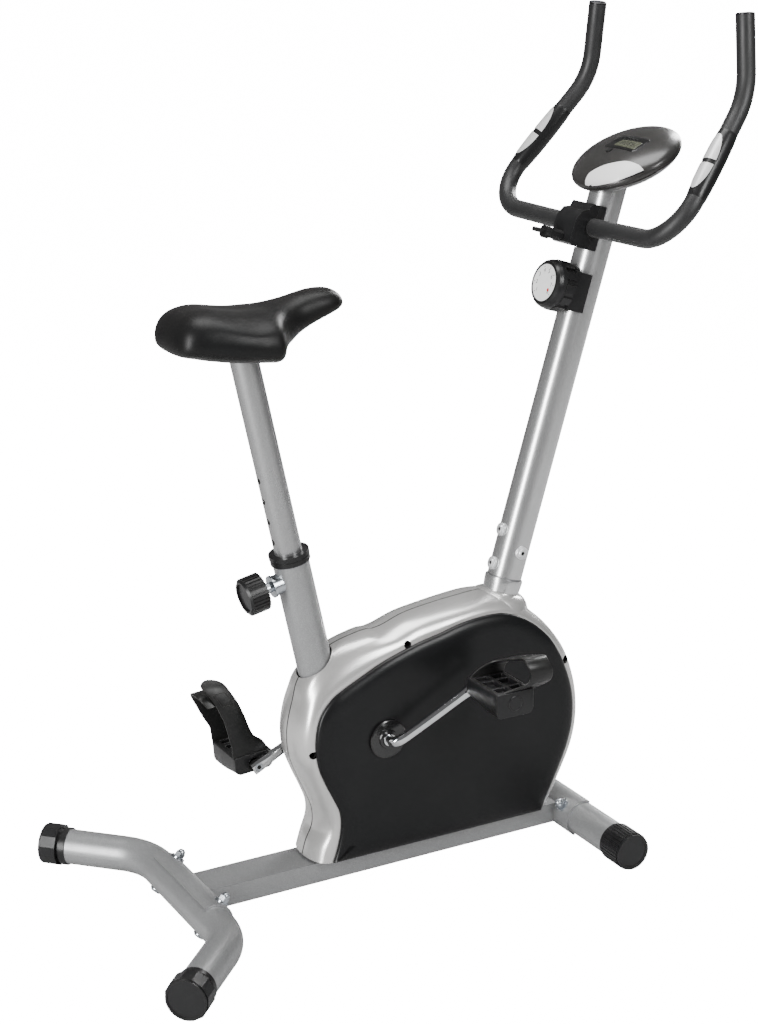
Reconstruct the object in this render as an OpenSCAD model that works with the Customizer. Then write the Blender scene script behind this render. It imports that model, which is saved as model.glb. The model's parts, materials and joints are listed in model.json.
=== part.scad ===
// Upright exercise bike: a bent rear foot, a straight front foot, a flywheel with a
// magnetic brake inside a two-piece casing, a sliding saddle post and a U-shaped bar.
// Millimetres, Z up. Forwards is +X and the rider's left is +Y.
// Everything is drawn from the crank axle's place and then moved along X,
// so that the whole bike is centred over the origin and stands on Z = 0.

/* [Feet and beam] */
// Height of both foot tubes' centre above the floor
tube_z = 28; // [27.5:0.5:31]
// Outer diameter of both foot tubes
foot_tube_d = 50; // [44:1:52]
// Wall of both foot tubes
foot_wall = 1.8; // [1.4:0.1:3]
// Distance of the rear tube behind the crank axle
rear_reach = 283; // [250:1:310]
// Distance of the front tube ahead of the crank axle
front_reach = 326; // [310:1:350]
// Half length of the rear tube up to the corner of its bend
rear_half = 138; // [130:1:160]
// Angle by which the rear arms turn backwards
arm_angle = 45; // [35:1:50]
// Length of a rear arm from the bend's corner to its end
arm_length = 121; // [110:1:140]
// Bend radius of the rear tube
arm_bend = 90; // [70:1:100]
// Offset between a levelling cap and its arm
cap_offset = 1; // [0.5:0.1:1.5]
// Length of a levelling cap
cap_length = 26; // [22:1:32]
// Half length of the front tube
front_half = 148; // [130:1:170]
// Length of a transport roller
roller_length = 42; // [36:1:50]
// Width of the beam
beam_width = 60; // [50:1:66]
// Height of the beam
beam_height = 30; // [24:1:32]
// Wall of the beam
beam_wall = 2; // [1.5:0.1:3]
// Thickness of the cradle plates that hold the foot tubes
cradle_plate = 3; // [2:0.1:4]
// Half length of the rear cradle
rear_cradle = 88; // [80:1:94]
// Half length of the front cradle
front_cradle = 65; // [55:1:80]
// Diameter of the foot bolts
foot_bolt_d = 8; // [6:1:10]

/* [Saddle post] */
// Distance of the seat tube's foot behind the crank axle
seat_foot = 20.3; // [15:0.1:25]
// Backward lean of the seat tube
seat_lean = 12.25; // [11:0.25:14]
// Outer diameter of the seat tube
seat_tube_d = 50; // [46:1:52]
// Wall of the seat tube
seat_tube_wall = 2; // [1.5:0.1:2.5]
// Length of the seat tube
seat_tube_length = 452; // [430:1:470]
// Outer diameter of the sliding saddle post
seat_post_d = 38; // [34:1:40]
// Wall of the sliding saddle post
seat_post_wall = 2; // [1.5:0.1:3]
// Length of the sliding saddle post
seat_post_length = 415; // [400:1:430]
// Distance between the post's adjusting holes
hole_pitch = 30; // [25:1:35]
// Diameter of the locking pin
pin_d = 8; // [6:0.5:8]
// Diameter of the saddle knob
seat_knob_d = 53; // [44:1:56]
// Length of the saddle knob
seat_knob_length = 28; // [24:1:32]

/* [Handlebar post] */
// Distance of the stub's foot line ahead of the crank axle
post_foot = 115.7; // [112:0.1:120]
// Forward lean of the handlebar post
post_lean = 16.72; // [16:0.02:17.5]
// Outer diameter of the handlebar post
post_d = 50; // [46:1:52]
// Wall of the handlebar post
post_wall = 2; // [1.5:0.1:2.5]
// Diameter of the post bolts
post_bolt_d = 8; // [6:1:8]
// Diameter of the tension knob's skirt
tension_knob_d = 72; // [60:1:76]
// Diameter of the tension dial
dial_d = 52; // [40:1:56]

/* [Handlebar] */
// Height of the bar's clamp along the post
bar_along = 885.4; // [880:0.1:892]
// Distance of the bar's centre behind the post's centre
bar_behind = 24.5; // [24:0.1:27]
// Diameter of the bar's steel tube
bar_d = 22.2; // [20:0.1:24]
// Wall of the bar's steel tube
bar_wall = 1.5; // [1.2:0.1:2.5]
// Thickness of the grip sleeves
grip_wall = 1.7; // [1.2:0.1:2.5]
// Half width of the bar at its lower corners
bar_half = 223.7; // [205:0.1:230]
// Bend radius at the lower corners
bar_bend = 58; // [50:1:80]
// Half width of the clamp
clamp_half = 24; // [20:1:26]

/* [Casing] */
// Half width of the silver casing
casing_half = 46; // [45:1:48]
// Depth of a side cover beyond the silver casing
cover_depth = 11; // [9:1:14]
// Wall of the silver casing
casing_wall = 2.5; // [2:0.1:3]
// Wall of the side covers
cover_wall = 3; // [2:0.1:4]
// Radius of the round edge of a side cover
cover_round = 12; // [8:1:14]

/* [Drive] */
// Height of the crank axle above the floor
crank_z = 224; // [222:1:228]
// Length of a crank arm
crank_length = 148; // [135:1:155]
// Angle of the right crank arm above the forward direction
crank_turn = 28.5; // [0:0.1:60]
// Diameter of the bottom bracket shell
bracket_d = 57; // [54:1:60]
// Radius of the large pulley
pulley_r = 90; // [80:1:92]
// Distance of the flywheel's axle ahead of the crank axle
wheel_ahead = 205; // [202:1:208]
// Height of the flywheel's axle
wheel_z = 165; // [162:1:168]
// Radius of the flywheel
wheel_r = 95; // [85:1:98]
// Thickness of the flywheel's rim
wheel_rim = 26; // [20:1:30]

/* [Pedals] */
// Length of a pedal along its axle
pedal_length = 78; // [72:1:100]
// Width of a pedal
pedal_width = 59; // [50:1:64]
// Height of a pedal
pedal_height = 30; // [24:1:32]
// Width of a strap at its feet
strap_width = 54; // [40:1:56]
// Thickness of a strap
strap_thick = 3; // [2:0.1:4]

/* [Saddle and console] */
// Widest half width of the saddle
saddle_half = 79; // [75:1:110]
// Length of the saddle
saddle_length = 251; // [245:1:300]
// Half width of the console
console_half = 84; // [78:1:90]
// Half length of the console
console_reach = 78; // [74:1:84]
// Half thickness of the console
console_thick = 26; // [24:1:30]
// Slope of the console's face
console_tilt = 26; // [20:1:30]

/* [Fits] */
// Radial play of running fits
run_fit = 0.05; // [0.03:0.01:0.08]
// Play beside fixed pieces
seat_fit = 0.3; // [0.2:0.05:0.4]

/* [Hidden] */
$fn = 96;

steel = "#8f9294";
post_silver = "#b4b6b8";
shell_silver = "#b3b1ad";
black = "#222326";
soft_black = "#17181a";
zinc = "#a9b3bd";
chrome = "#d2d5d8";

// Feet and beam
foot_r = foot_tube_d / 2;
beam_top = tube_z + 2 + beam_height / 2;
cradle_r = foot_r + 0.2;
cradle_out = cradle_r + cradle_plate;
rear_bolt_y = rear_cradle - 14;
front_bolt_y = front_cradle - 22;
rear_bolt_angle = 50;
front_bolt_angle = 40;
cap_r = tube_z + cap_offset;
collar_length = 8;
groove_length = 5;
spigot_r = foot_r - 1;
spigot_length = 18;
arm_total = arm_length + collar_length + groove_length + cap_length;
roller_start = front_half + 3;
roller_bore = 8;
// Seat tube and saddle post
seat_r = seat_tube_d / 2;
seat_post_r = seat_post_d / 2;
pin_along = seat_tube_length - 26;
collar_height = 14;
seat_post_low = pin_along - 84;
seat_post_top = seat_post_low + seat_post_length;
bush_r = 7;
nut_out = 36;
bush_out = 50;
pin_travel = 12;
pin_r = pin_d / 2;
// Handlebar post
post_r = post_d / 2;
stub_r = post_r - post_wall - run_fit;
stub_low = 262;
stub_high = 475;
post_low = 379;
knob_along = bar_along - 89.4;
shaft_r = 5;
cable_forward = 17;
// Handlebar
bar_r = bar_d / 2;
grip_r = bar_r + grip_wall;
// Distance of a point in the post's slanted frame from the crank axle's place
function on_post(s, n) = [post_foot + s * sin(post_lean) - n * cos(post_lean),
    beam_top + s * cos(post_lean) + n * sin(post_lean)];
bar_at = on_post(bar_along, bar_behind);
bar_middle = [bar_at[0], 34, bar_at[1]];
bar_corner = [bar_at[0] - 15.3, bar_half, bar_at[1] + 6.3];
bar_elbow = bar_corner + [144.9, -42.7, 178.3];
bar_end = bar_elbow + [1.8, -13.3, 103.4];
// Radii of the left half's bends, from the middle to the elbow
bar_bends = [150, bar_bend, 100];
pulse_start = 98;
pulse_length = 78;
pulse_r = 15;
// Crank and flywheel
bracket_r = bracket_d / 2;
bracket_half = 34;
cup_r = bracket_r - 2.9;
cup_bore = 12;
shaft_shoulder = cup_bore - run_fit;
spindle_r = 9.5;
pulley_y = casing_half - 9;
pulley_width = 9;
wheel_at = [wheel_ahead, 0, wheel_z];
fork_in = 22.5;
fork_plate = 4;
bearing_width = 10;
bearing_r = 16;
axle_r = 6;
small_pulley_r = pulley_r * 2 / 9;
brace_r = 16;
brace_z = crank_z + 101;
arm_pivot = [190, 0, 277];
brake_open = 3;
brake_half = 12;
eye_mid = 91;
eye_r = 14;
pedal_in = eye_mid + 10.5;
pedal_pin_r = 5;
// Casing
casing_low = beam_top + 4;
neck_r = stub_r + 7;
// Console
console_low = on_post(bar_along + 103.65, -16.45);
console_at = [console_low[0], 0, console_low[1]];
lens_size = [34, 70];
lens_ahead = 10;
// Distance of the whole bike's middle ahead of the crank axle
rear_most = rear_reach + arm_total * sin(arm_angle) + (cap_r - 1) * cos(arm_angle);
front_most = bar_end[0] + grip_r;
centre_x = (front_most - rear_most) / 2;

function unit(v) = v / norm(v);
function mix(a, b, t) = a + (b - a) * t;
function side_of(d) = unit(abs(d[2]) < 0.9 ? cross([0, 0, 1], d) : cross([1, 0, 0], d));
// Placing matrix from a local X direction, a local Z direction and an origin
function place(x, z, o) = let (y = cross(z, x))
    [[x[0], y[0], z[0], o[0]], [x[1], y[1], z[1], o[1]], [x[2], y[2], z[2], o[2]], [0, 0, 0, 1]];
function spline(a, b, c, d, t) = 0.5 * (2 * b + (c - a) * t
    + (2 * a - 5 * b + 4 * c - d) * t * t + (3 * b - a - 3 * c + d) * t * t * t);
// Smooth curve through the points of an open line, with k steps between each two
function smooth(p, k) = let (n = len(p) - 1) concat([for (i = [0 : n - 1]) for (t = [0 : k - 1])
    spline(p[max(0, i - 1)], p[i], p[i + 1], p[min(n, i + 2)], t / k)], [p[n]]);
// Clockwise outline moved inwards by d
function inset(p, d) = let (n = len(p)) [for (i = [0 : n - 1])
    let (t = unit(p[(i + 1) % n] - p[(i + n - 1) % n])) p[i] + d * [t[1], -t[0]]];
// Casing outline moved by d towards the casing's middle line
function shrink(p, d) = [for (q = p) q + d * unit([min(max(q[0], 40), 190), 200] - q)];
function at_y(p, y) = [for (q = p) [q[0], y, q[1]]];
// Corner angle and tangent length at point i of a bent rod
function turn_at(p, i) = acos(unit(p[i] - p[i - 1]) * unit(p[i + 1] - p[i]));
function setback(p, b, i) = i == 0 || i == len(p) - 1 ? 0 : b[i - 1] * tan(turn_at(p, i) / 2);

module in_frame() {
    translate([-centre_x, 0, 0]) children();
}
module both_sides() {
    children();
    mirror([0, 1, 0]) children();
}
module along_seat() {
    translate([-seat_foot, 0, beam_top]) rotate([0, -seat_lean, 0]) children();
}
module along_post() {
    translate([post_foot, 0, beam_top]) rotate([0, post_lean, 0]) children();
}
module along_console() {
    translate(console_at) rotate([0, -console_tilt, 0]) children();
}
// From the left arm's bend corner, with Z along the arm and X upwards
module along_arm() {
    translate([-rear_reach, rear_half, tube_z])
        multmatrix(place([0, 0, 1], [-sin(arm_angle), cos(arm_angle), 0], [0, 0, 0])) children();
}
// Rod that runs along straight lines and round bends, each bend's ends sunk in the straights by a hair
module rod(p, b, r) {
    hair = 0.04;
    for (i = [0 : len(p) - 2]) {
        d = unit(p[i + 1] - p[i]);
        from = p[i] + d * setback(p, b, i);
        to = p[i + 1] - d * setback(p, b, i + 1);
        multmatrix(place(side_of(d), d, from)) cylinder(r = r + hair, h = norm(to - from));
    }
    for (i = [1 : len(p) - 2]) {
        d = unit(p[i] - p[i - 1]);
        e = unit(p[i + 1] - p[i]);
        n = unit(e - d * (d * e));
        c = p[i] - d * setback(p, b, i) + n * b[i - 1];
        sink = 0.4 * 180 / (PI * b[i - 1]);
        multmatrix(place(-n, cross(-n, d), c)) rotate([0, 0, -sink])
            rotate_extrude(angle = turn_at(p, i) + 2 * sink) translate([b[i - 1], 0]) circle(r = r);
    }
}
// Cylinder along Y, centred on Y = 0
module across(r, h) {
    rotate([90, 0, 0]) cylinder(r = r, h = h, center = true);
}
// Cylinder along Y on the left side, from y1 to y2
module across_left(r, y1, y2) {
    translate([0, y2, 0]) rotate([90, 0, 0]) cylinder(r = r, h = y2 - y1);
}
// Ring with an outer and an inner radius
module ring(r1, r2, h) {
    difference() {
        cylinder(r = r1, h = h);
        translate([0, 0, -1]) cylinder(r = r2, h = h + 2);
    }
}
// Round bar with n straight ribs
module ribbed(r, depth, n, h) {
    linear_extrude(h) polygon([for (i = [0 : n - 1]) for (j = [-0.34, 0.24, 0.34, 0.66])
        let (q = j < 0.3 ? r : r - depth, a = (i + j + 0.05) * 360 / n) [q * cos(a), q * sin(a)]]);
}
// Solid through rings of points, closed at both ends
module loft(rings) {
    n = len(rings[0]);
    m = len(rings);
    sides = [for (i = [0 : m - 2]) for (j = [0 : n - 1]) for (h = [0, 1])
        let (a = i * n + j, b = i * n + (j + 1) % n) h == 0 ? [a, a + n, b + n] : [a, b + n, b]];
    ends = [[for (j = [0 : n - 1]) j], [for (j = [0 : n - 1]) m * n - 1 - j]];
    polyhedron([for (r = rings) for (p = r) p], concat(sides, ends), convexity = 8);
}
// Hollow solid through rings of points, where the last ring joins the first
module loft_round(rings) {
    n = len(rings[0]);
    m = len(rings);
    polyhedron([for (r = rings) for (p = r) p], [for (i = [0 : m - 1]) for (j = [0 : n - 1]) for (h = [0, 1])
        let (a = i * n + j, b = i * n + (j + 1) % n, c = (i + 1) % m * n + j, d = (i + 1) % m * n + (j + 1) % n)
        h == 0 ? [a, c, d] : [a, d, b]], convexity = 8);
}

// ---- Feet and beam ----
module cradle(x, half, from, to) {
    translate([x, half, tube_z]) rotate([90, 0, 0]) rotate([0, 0, from])
        rotate_extrude(angle = to - from) translate([cradle_r, 0]) square([cradle_plate, 2 * half]);
}
module foot_bolt_holes(r) {
    for (s = [-1, 1]) {
        translate([-rear_reach, s * rear_bolt_y, tube_z]) rotate([0, 90 - rear_bolt_angle, 0])
            cylinder(r = r, h = 80, center = true);
        translate([front_reach, s * front_bolt_y, tube_z]) rotate([0, front_bolt_angle - 90, 0])
            cylinder(r = r, h = 80, center = true);
    }
}
module base_beam() {
    color(steel) in_frame() difference() {
        union() {
            difference() {
                translate([-rear_reach, -beam_width / 2, beam_top - beam_height])
                    cube([rear_reach + front_reach, beam_width, beam_height]);
                translate([-rear_reach - 1, beam_wall - beam_width / 2, beam_top - beam_height + beam_wall])
                    cube([rear_reach + front_reach + 2, beam_width - 2 * beam_wall, beam_height - 2 * beam_wall]);
            }
            cradle(-rear_reach, rear_cradle, -60, 117);
            cradle(front_reach, front_cradle, 63, 240);
        }
        translate([-rear_reach, 0, tube_z]) across(cradle_r, 2 * rear_cradle + 40);
        translate([front_reach, 0, tube_z]) across(cradle_r, 2 * front_cradle + 40);
        foot_bolt_holes(foot_bolt_d / 2 + 0.2);
        // Drain and wiring holes under the beam
        for (x = [-120, 60, 240]) translate([x, 0, beam_top - beam_height - 1]) cylinder(d = 9, h = beam_wall + 2);
    }
}
module rear_stabiliser() {
    arm = arm_length * [-sin(arm_angle), cos(arm_angle), 0];
    corner = [-rear_reach, rear_half, tube_z];
    flip = [[1, 0, 0], [0, -1, 0], [0, 0, 1]];
    line = [flip * (corner + arm), flip * corner, corner, corner + arm];
    color(steel) in_frame() difference() {
        rod(line, [arm_bend, arm_bend], foot_r);
        rod(line, [arm_bend, arm_bend], foot_r - foot_wall);
        foot_bolt_holes(foot_bolt_d / 2 + 0.2);
    }
}
module front_stabiliser() {
    color(steel) in_frame() difference() {
        translate([front_reach, 0, tube_z]) across(foot_r, 2 * front_half);
        translate([front_reach, 0, tube_z]) across(foot_r - foot_wall, 2 * front_half + 2);
        foot_bolt_holes(foot_bolt_d / 2 + 0.2);
    }
}
// One foot bolt along Z through the tube's centre, with its domed nut on top
module foot_bolt() {
    difference() {
        union() {
            translate([0, 0, 3 - foot_r - 6]) cylinder(d1 = 13, d2 = 19, h = 3);
            translate([0, 0, -foot_r]) cylinder(d = 19, h = 4);
        }
        rotate([90, 0, 0]) cylinder(r = foot_r + run_fit, h = 60, center = true);
    }
    translate([0, 0, -foot_r - 1]) cylinder(d = foot_bolt_d, h = foot_r + cradle_out + 6);
    difference() {
        translate([0, 0, cradle_out - 3]) cylinder(d = 20, h = 5);
        rotate([90, 0, 0]) cylinder(r = cradle_out + run_fit, h = 60, center = true);
    }
    translate([0, 0, cradle_out + 2]) cylinder(d = 15, h = 6.5, $fn = 6);
    translate([0, 0, cradle_out + 8.5]) sphere(r = 5.8);
}
module stabiliser_bolts() {
    color(zinc) in_frame() for (s = [-1, 1]) {
        translate([-rear_reach, s * rear_bolt_y, tube_z]) rotate([0, 90 - rear_bolt_angle, 0]) foot_bolt();
        translate([front_reach, s * front_bolt_y, tube_z]) rotate([0, front_bolt_angle - 90, 0]) foot_bolt();
    }
}
module rear_end_sleeves() {
    color(soft_black) in_frame() both_sides() along_arm() difference() {
        union() {
            translate([0, 0, arm_length - 22]) cylinder(r = foot_r - foot_wall - run_fit, h = 22);
            translate([0, 0, arm_length]) cylinder(r = foot_r + 2, h = collar_length);
            translate([0, 0, arm_length + collar_length])
                cylinder(r = spigot_r, h = groove_length + spigot_length);
        }
        translate([0, 0, arm_length - 23])
            cylinder(r = spigot_r - 4, h = 20 + collar_length + groove_length + spigot_length);
    }
}
module rear_cap() {
    start = arm_length + collar_length + groove_length;
    along_arm() difference() {
        translate([cap_offset, 0, start]) rotate([0, 0, 15]) {
            cylinder(r = cap_r / cos(15), h = cap_length - 3, $fn = 12);
            translate([0, 0, cap_length - 3]) cylinder(r = cap_r - 1, h = 3);
        }
        translate([0, 0, start - 1]) cylinder(r = spigot_r + run_fit, h = spigot_length + 1.5);
        // Shallow dish in the plain end
        translate([cap_offset, 0, start + cap_length - 1]) cylinder(r = cap_r - 4, h = 2);
    }
}
module rear_cap_left() {
    color(soft_black) in_frame() rear_cap();
}
module rear_cap_right() {
    color(soft_black) in_frame() mirror([0, 1, 0]) rear_cap();
}
module front_roller_axles() {
    color(soft_black) in_frame() translate([front_reach, 0, tube_z]) both_sides() {
        across_left(foot_r - foot_wall - run_fit, front_half - 20, front_half);
        across_left(foot_r + 2, front_half, roller_start);
        across_left(roller_bore, roller_start - 1, roller_start + roller_length - 5);
    }
}
module front_roller() {
    translate([front_reach, 0, tube_z]) difference() {
        union() {
            translate([0, roller_start + roller_length - 4, 0]) rotate([90, 0, 0]) rotate([0, 0, -90])
                ribbed(tube_z, 1.1, 36, roller_length - 4.3);
            across_left(tube_z - 1.5, roller_start + roller_length - 4.5, roller_start + roller_length);
        }
        across_left(roller_bore + run_fit, roller_start, roller_start + roller_length - 4.5);
        difference() {
            across_left(tube_z - 5, roller_start, roller_start + roller_length - 10);
            across_left(roller_bore + 4, roller_start - 1, roller_start + roller_length);
        }
        across_left(tube_z - 6, roller_start + roller_length - 1, roller_start + roller_length + 1);
    }
}
module front_roller_left() {
    color(soft_black) in_frame() front_roller();
}
module front_roller_right() {
    color(soft_black) in_frame() mirror([0, 1, 0]) front_roller();
}

// ---- Seat tube, saddle post and locking pin ----
// Cylinder along the pin's line, from n1 to n2 behind the seat tube's centre
module at_pin(r, n1, n2) {
    translate([-n1, 0, pin_along]) rotate([0, -90, 0]) cylinder(r = r, h = n2 - n1);
}
module seat_tube() {
    color(steel) in_frame() difference() {
        along_seat() difference() {
            translate([0, 0, -20]) cylinder(r = seat_r, h = seat_tube_length + 20);
            translate([0, 0, -21]) cylinder(r = seat_r - seat_tube_wall, h = seat_tube_length + 22);
            at_pin(bush_r + run_fit, 0, 40);
        }
        translate([-seat_foot - 80, -80, beam_top - 60]) cube([160, 160, 60]);
    }
}
module seat_tube_collar() {
    color(soft_black) in_frame() along_seat() difference() {
        union() {
            translate([0, 0, seat_tube_length - 50]) cylinder(r = seat_r - seat_tube_wall - run_fit, h = 51);
            translate([0, 0, seat_tube_length]) cylinder(r = seat_r + 2.5, h = collar_height / 2);
            translate([0, 0, seat_tube_length + collar_height / 2]) cylinder(r = seat_r + 3, h = collar_height / 2);
        }
        translate([0, 0, seat_tube_length - 60]) cylinder(r = seat_post_r + run_fit, h = 80);
        at_pin(bush_r + run_fit, 0, 40);
        translate([0, 0, seat_tube_length + collar_height / 2 - 0.7]) ring(seat_r + 4, seat_r + 1.5, 1.4);
    }
}
module pin_boss() {
    color(zinc) in_frame() along_seat() difference() {
        union() {
            difference() {
                union() {
                    at_pin(14, seat_r - 5, nut_out - 3);
                    at_pin(15.5, nut_out - 3, nut_out);
                }
                translate([0, 0, pin_along]) cylinder(r = seat_r + run_fit, h = 60, center = true);
            }
            at_pin(bush_r, seat_post_r + 0.6, bush_out);
        }
        at_pin(pin_r + run_fit, 0, 80);
    }
}
module seat_pin() {
    color(zinc) in_frame() along_seat() {
        at_pin(pin_r, seat_post_r + 0.2, bush_out + 20);
        at_pin(pin_r + 1.6, bush_out + 16, bush_out + 20);
    }
}
module seat_knob() {
    color(black) in_frame() along_seat() difference() {
        translate([-bush_out, 0, pin_along]) rotate([0, -90, 0]) {
            ribbed(seat_knob_d / 2, 1.6, 30, seat_knob_length - 3);
            translate([0, 0, seat_knob_length - 3]) cylinder(r1 = seat_knob_d / 2 - 1.6, r2 = seat_knob_d / 2 - 4, h = 3);
        }
        at_pin(bush_r + 0.6, bush_out - 1, bush_out + pin_travel + 2.5);
        at_pin(pin_r + run_fit, bush_out, bush_out + 18);
        at_pin(pin_r + 1.7, bush_out + 16, bush_out + 20.1);
        at_pin(seat_knob_d / 2 - 7, bush_out + seat_knob_length - 2.5, bush_out + seat_knob_length + 1);
    }
}
post_top_at = [-seat_foot - seat_post_top * sin(seat_lean), beam_top + seat_post_top * cos(seat_lean)];
plate_top = post_top_at[1] + 4;
module seat_post() {
    color(post_silver) in_frame() {
        difference() {
            along_seat() difference() {
                translate([0, 0, seat_post_low]) cylinder(r = seat_post_r, h = seat_post_length + 20);
                translate([0, 0, seat_post_low - 1]) cylinder(r = seat_post_r - seat_post_wall, h = seat_post_length + 30);
                for (i = [-2 : 5]) translate([0, 0, i * hole_pitch]) at_pin(pin_r + 0.6, 5, 40);
            }
            translate([post_top_at[0] - 60, -60, post_top_at[1]]) cube([120, 120, 60]);
        }
        translate([post_top_at[0] - 38, -26, post_top_at[1]]) difference() {
            cube([76, 52, 4]);
            for (x = [8, 68]) for (y = [8, 44]) translate([x, y, -1]) cylinder(r = 3.2, h = 6);
        }
    }
}
module saddle_bolts() {
    color(zinc) in_frame() for (x = [-30, 30]) for (y = [-18, 18])
        translate([post_top_at[0] + x, y, plate_top]) {
            translate([0, 0, -6.5]) cylinder(r = 5.5, h = 2.5, $fn = 6);
            translate([0, 0, -5]) cylinder(r = 3, h = 12);
        }
}
// Saddle stations: share of the length from the rear, share of the half width, top and bottom over the plate
saddle_line = [[0, 0.37, 22, 7], [0.012, 0.53, 34, 2], [0.04, 0.67, 45, -1], [0.095, 0.77, 53, -3.5],
    [0.185, 0.845, 56, -8], [0.29, 0.925, 51.5, -12], [0.395, 0.97, 47.5, -14.5], [0.48, 0.99, 47, -17.5],
    [0.53, 0.96, 47, -19], [0.575, 0.74, 49.5, -12], [0.615, 0.58, 52, -4.5], [0.66, 0.49, 54.5, 2],
    [0.71, 0.415, 57.5, 10], [0.78, 0.385, 61.5, 19], [0.85, 0.37, 64, 26], [0.92, 0.345, 63.5, 32.5],
    [0.965, 0.275, 58, 36.5], [0.99, 0.17, 51, 39], [1, 0.08, 45, 40.5]];
saddle_rear = post_top_at[0] - 0.421 * saddle_length;
function bulge(v, e) = sign(v) * pow(abs(v), e);
function saddle_ring(s) = let (w = s[1] * saddle_half, mid = s[3] + 0.34 * (s[2] - s[3]))
    [for (i = [0 : 27]) let (a = i * 360 / 28, up = sin(a) > 0 ? s[2] - mid : mid - s[3])
        [saddle_rear + s[0] * saddle_length, w * bulge(cos(a), 0.72),
            plate_top + mid + up * bulge(sin(a), sin(a) > 0 ? 0.85 : 0.6)]];
pan_outline = [[-62, 0], [-60, 36], [-52, 48], [-20, 56], [8, 56], [24, 44], [34, 24], [37, 0]];
pan_points = concat(pan_outline, [for (i = [6 : -1 : 1]) [pan_outline[i][0], -pan_outline[i][1]]]);
pan_height = 8;
module saddle_cushion() {
    color(soft_black) in_frame() difference() {
        loft([for (s = saddle_line) saddle_ring(s)]);
        translate([post_top_at[0], 0, plate_top - 40]) linear_extrude(40 + pan_height + seat_fit)
            polygon(inset(pan_points, -seat_fit - 0.2));
        translate([post_top_at[0] - 38.5, -26.5, plate_top - 40]) cube([77, 53, 40.3]);
    }
}
module saddle_base() {
    color(black) in_frame() translate([post_top_at[0], 0, plate_top]) difference() {
        linear_extrude(pan_height) polygon(pan_points);
        for (x = [-30, 30]) for (y = [-18, 18]) translate([x, y, -1]) cylinder(r = 3 + run_fit, h = 8.2);
        for (s = [-1, 1]) translate([-40, s * 34, 3]) cylinder(r = 11, h = 20);
    }
}

// ---- Frame inside the casing ----
module front_frame() {
    plate = [[158, beam_top], [252, beam_top], [242, wheel_z], [222, 340], [182, 334], [170, wheel_z]];
    color(steel) in_frame() difference() {
        union() {
            along_post() translate([0, 0, stub_low]) ring(stub_r, stub_r - 2, stub_high - stub_low);
            both_sides() {
                translate([0, fork_in + fork_plate, 0]) rotate([90, 0, 0]) linear_extrude(fork_plate) polygon(plate);
                translate(wheel_at) across_left(bearing_r + 5, fork_in, fork_in + bearing_width);
            }
        }
        translate(wheel_at) across(bearing_r + run_fit, 100);
        post_bolt_holes();
        translate(arm_pivot) across(4 + run_fit, 100);
    }
}
module bottom_bracket() {
    color(steel) in_frame() difference() {
        union() {
            translate([0, 0, crank_z]) across(bracket_r, 2 * bracket_half);
            // Gusset to the seat tube and brace to the stub
            translate([-62, -5, crank_z - 22]) cube([50, 10, 44]);
            translate([-90, 0, brace_z]) rotate([0, 90, 0]) cylinder(r = brace_r, h = 290);
        }
        translate([-91, 0, brace_z]) rotate([0, 90, 0]) cylinder(r = brace_r - 2, h = 292);
        translate([0, 0, crank_z]) across(cup_r + run_fit, 2 * bracket_half + 2);
        along_seat() translate([0, 0, -50]) cylinder(r = seat_r + run_fit, h = 500);
        translate([-200, -50, brace_z - 50]) cube([200 - seat_foot - (brace_z - beam_top) * tan(seat_lean), 100, 100]);
        along_post() translate([0, 0, 100]) cylinder(r = stub_r + run_fit, h = 400);
        translate([post_foot + (brace_z - beam_top) * tan(post_lean), -50, brace_z - 50]) cube([200, 100, 100]);
    }
}
module bearing_cups() {
    color(zinc) in_frame() translate([0, 0, crank_z]) both_sides() difference() {
        union() {
            across_left(cup_r, bracket_half - 8, bracket_half);
            across_left(bracket_r, bracket_half, bracket_half + 2);
        }
        across_left(cup_bore, bracket_half - 9, bracket_half + 3);
    }
}
module flywheel_bearings() {
    color(zinc) in_frame() translate(wheel_at) both_sides() difference() {
        across_left(bearing_r, fork_in, fork_in + bearing_width);
        across_left(axle_r + run_fit, fork_in - 1, fork_in + bearing_width + 1);
    }
}
module flywheel() {
    color("#6f7274") in_frame() translate(wheel_at) {
        rotate([90, 0, 0]) rotate_extrude() polygon([[0, -fork_in + 0.3], [10, -fork_in + 0.3], [10, -14], [18, -10],
            [wheel_r - 22, -6], [wheel_r - 18, -wheel_rim / 2], [wheel_r, -wheel_rim / 2], [wheel_r, wheel_rim / 2],
            [wheel_r - 18, wheel_rim / 2], [wheel_r - 22, 6], [18, 10], [10, 14], [10, fork_in - 0.3], [0, fork_in - 0.3]]);
        across_left(axle_r, 0, fork_in + bearing_width + 2);
        mirror([0, 1, 0]) {
            across_left(axle_r, 0, pulley_y - 1);
            across_left(small_pulley_r, pulley_y - 1, pulley_y + pulley_width);
        }
    }
}
module drive_pulley() {
    color(soft_black) in_frame() translate([0, 0, crank_z]) mirror([0, 1, 0]) difference() {
        union() {
            across_left(pulley_r, pulley_y, pulley_y + pulley_width);
        }
        across_left(shaft_shoulder + run_fit, pulley_y - 1, pulley_y + pulley_width + 1);
        for (a = [0 : 72 : 288]) rotate([0, a, 0]) translate([pulley_r * 0.6, 0, 0])
            across_left(pulley_r * 0.2, pulley_y - 1, pulley_y + pulley_width + 1);
    }
}
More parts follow.
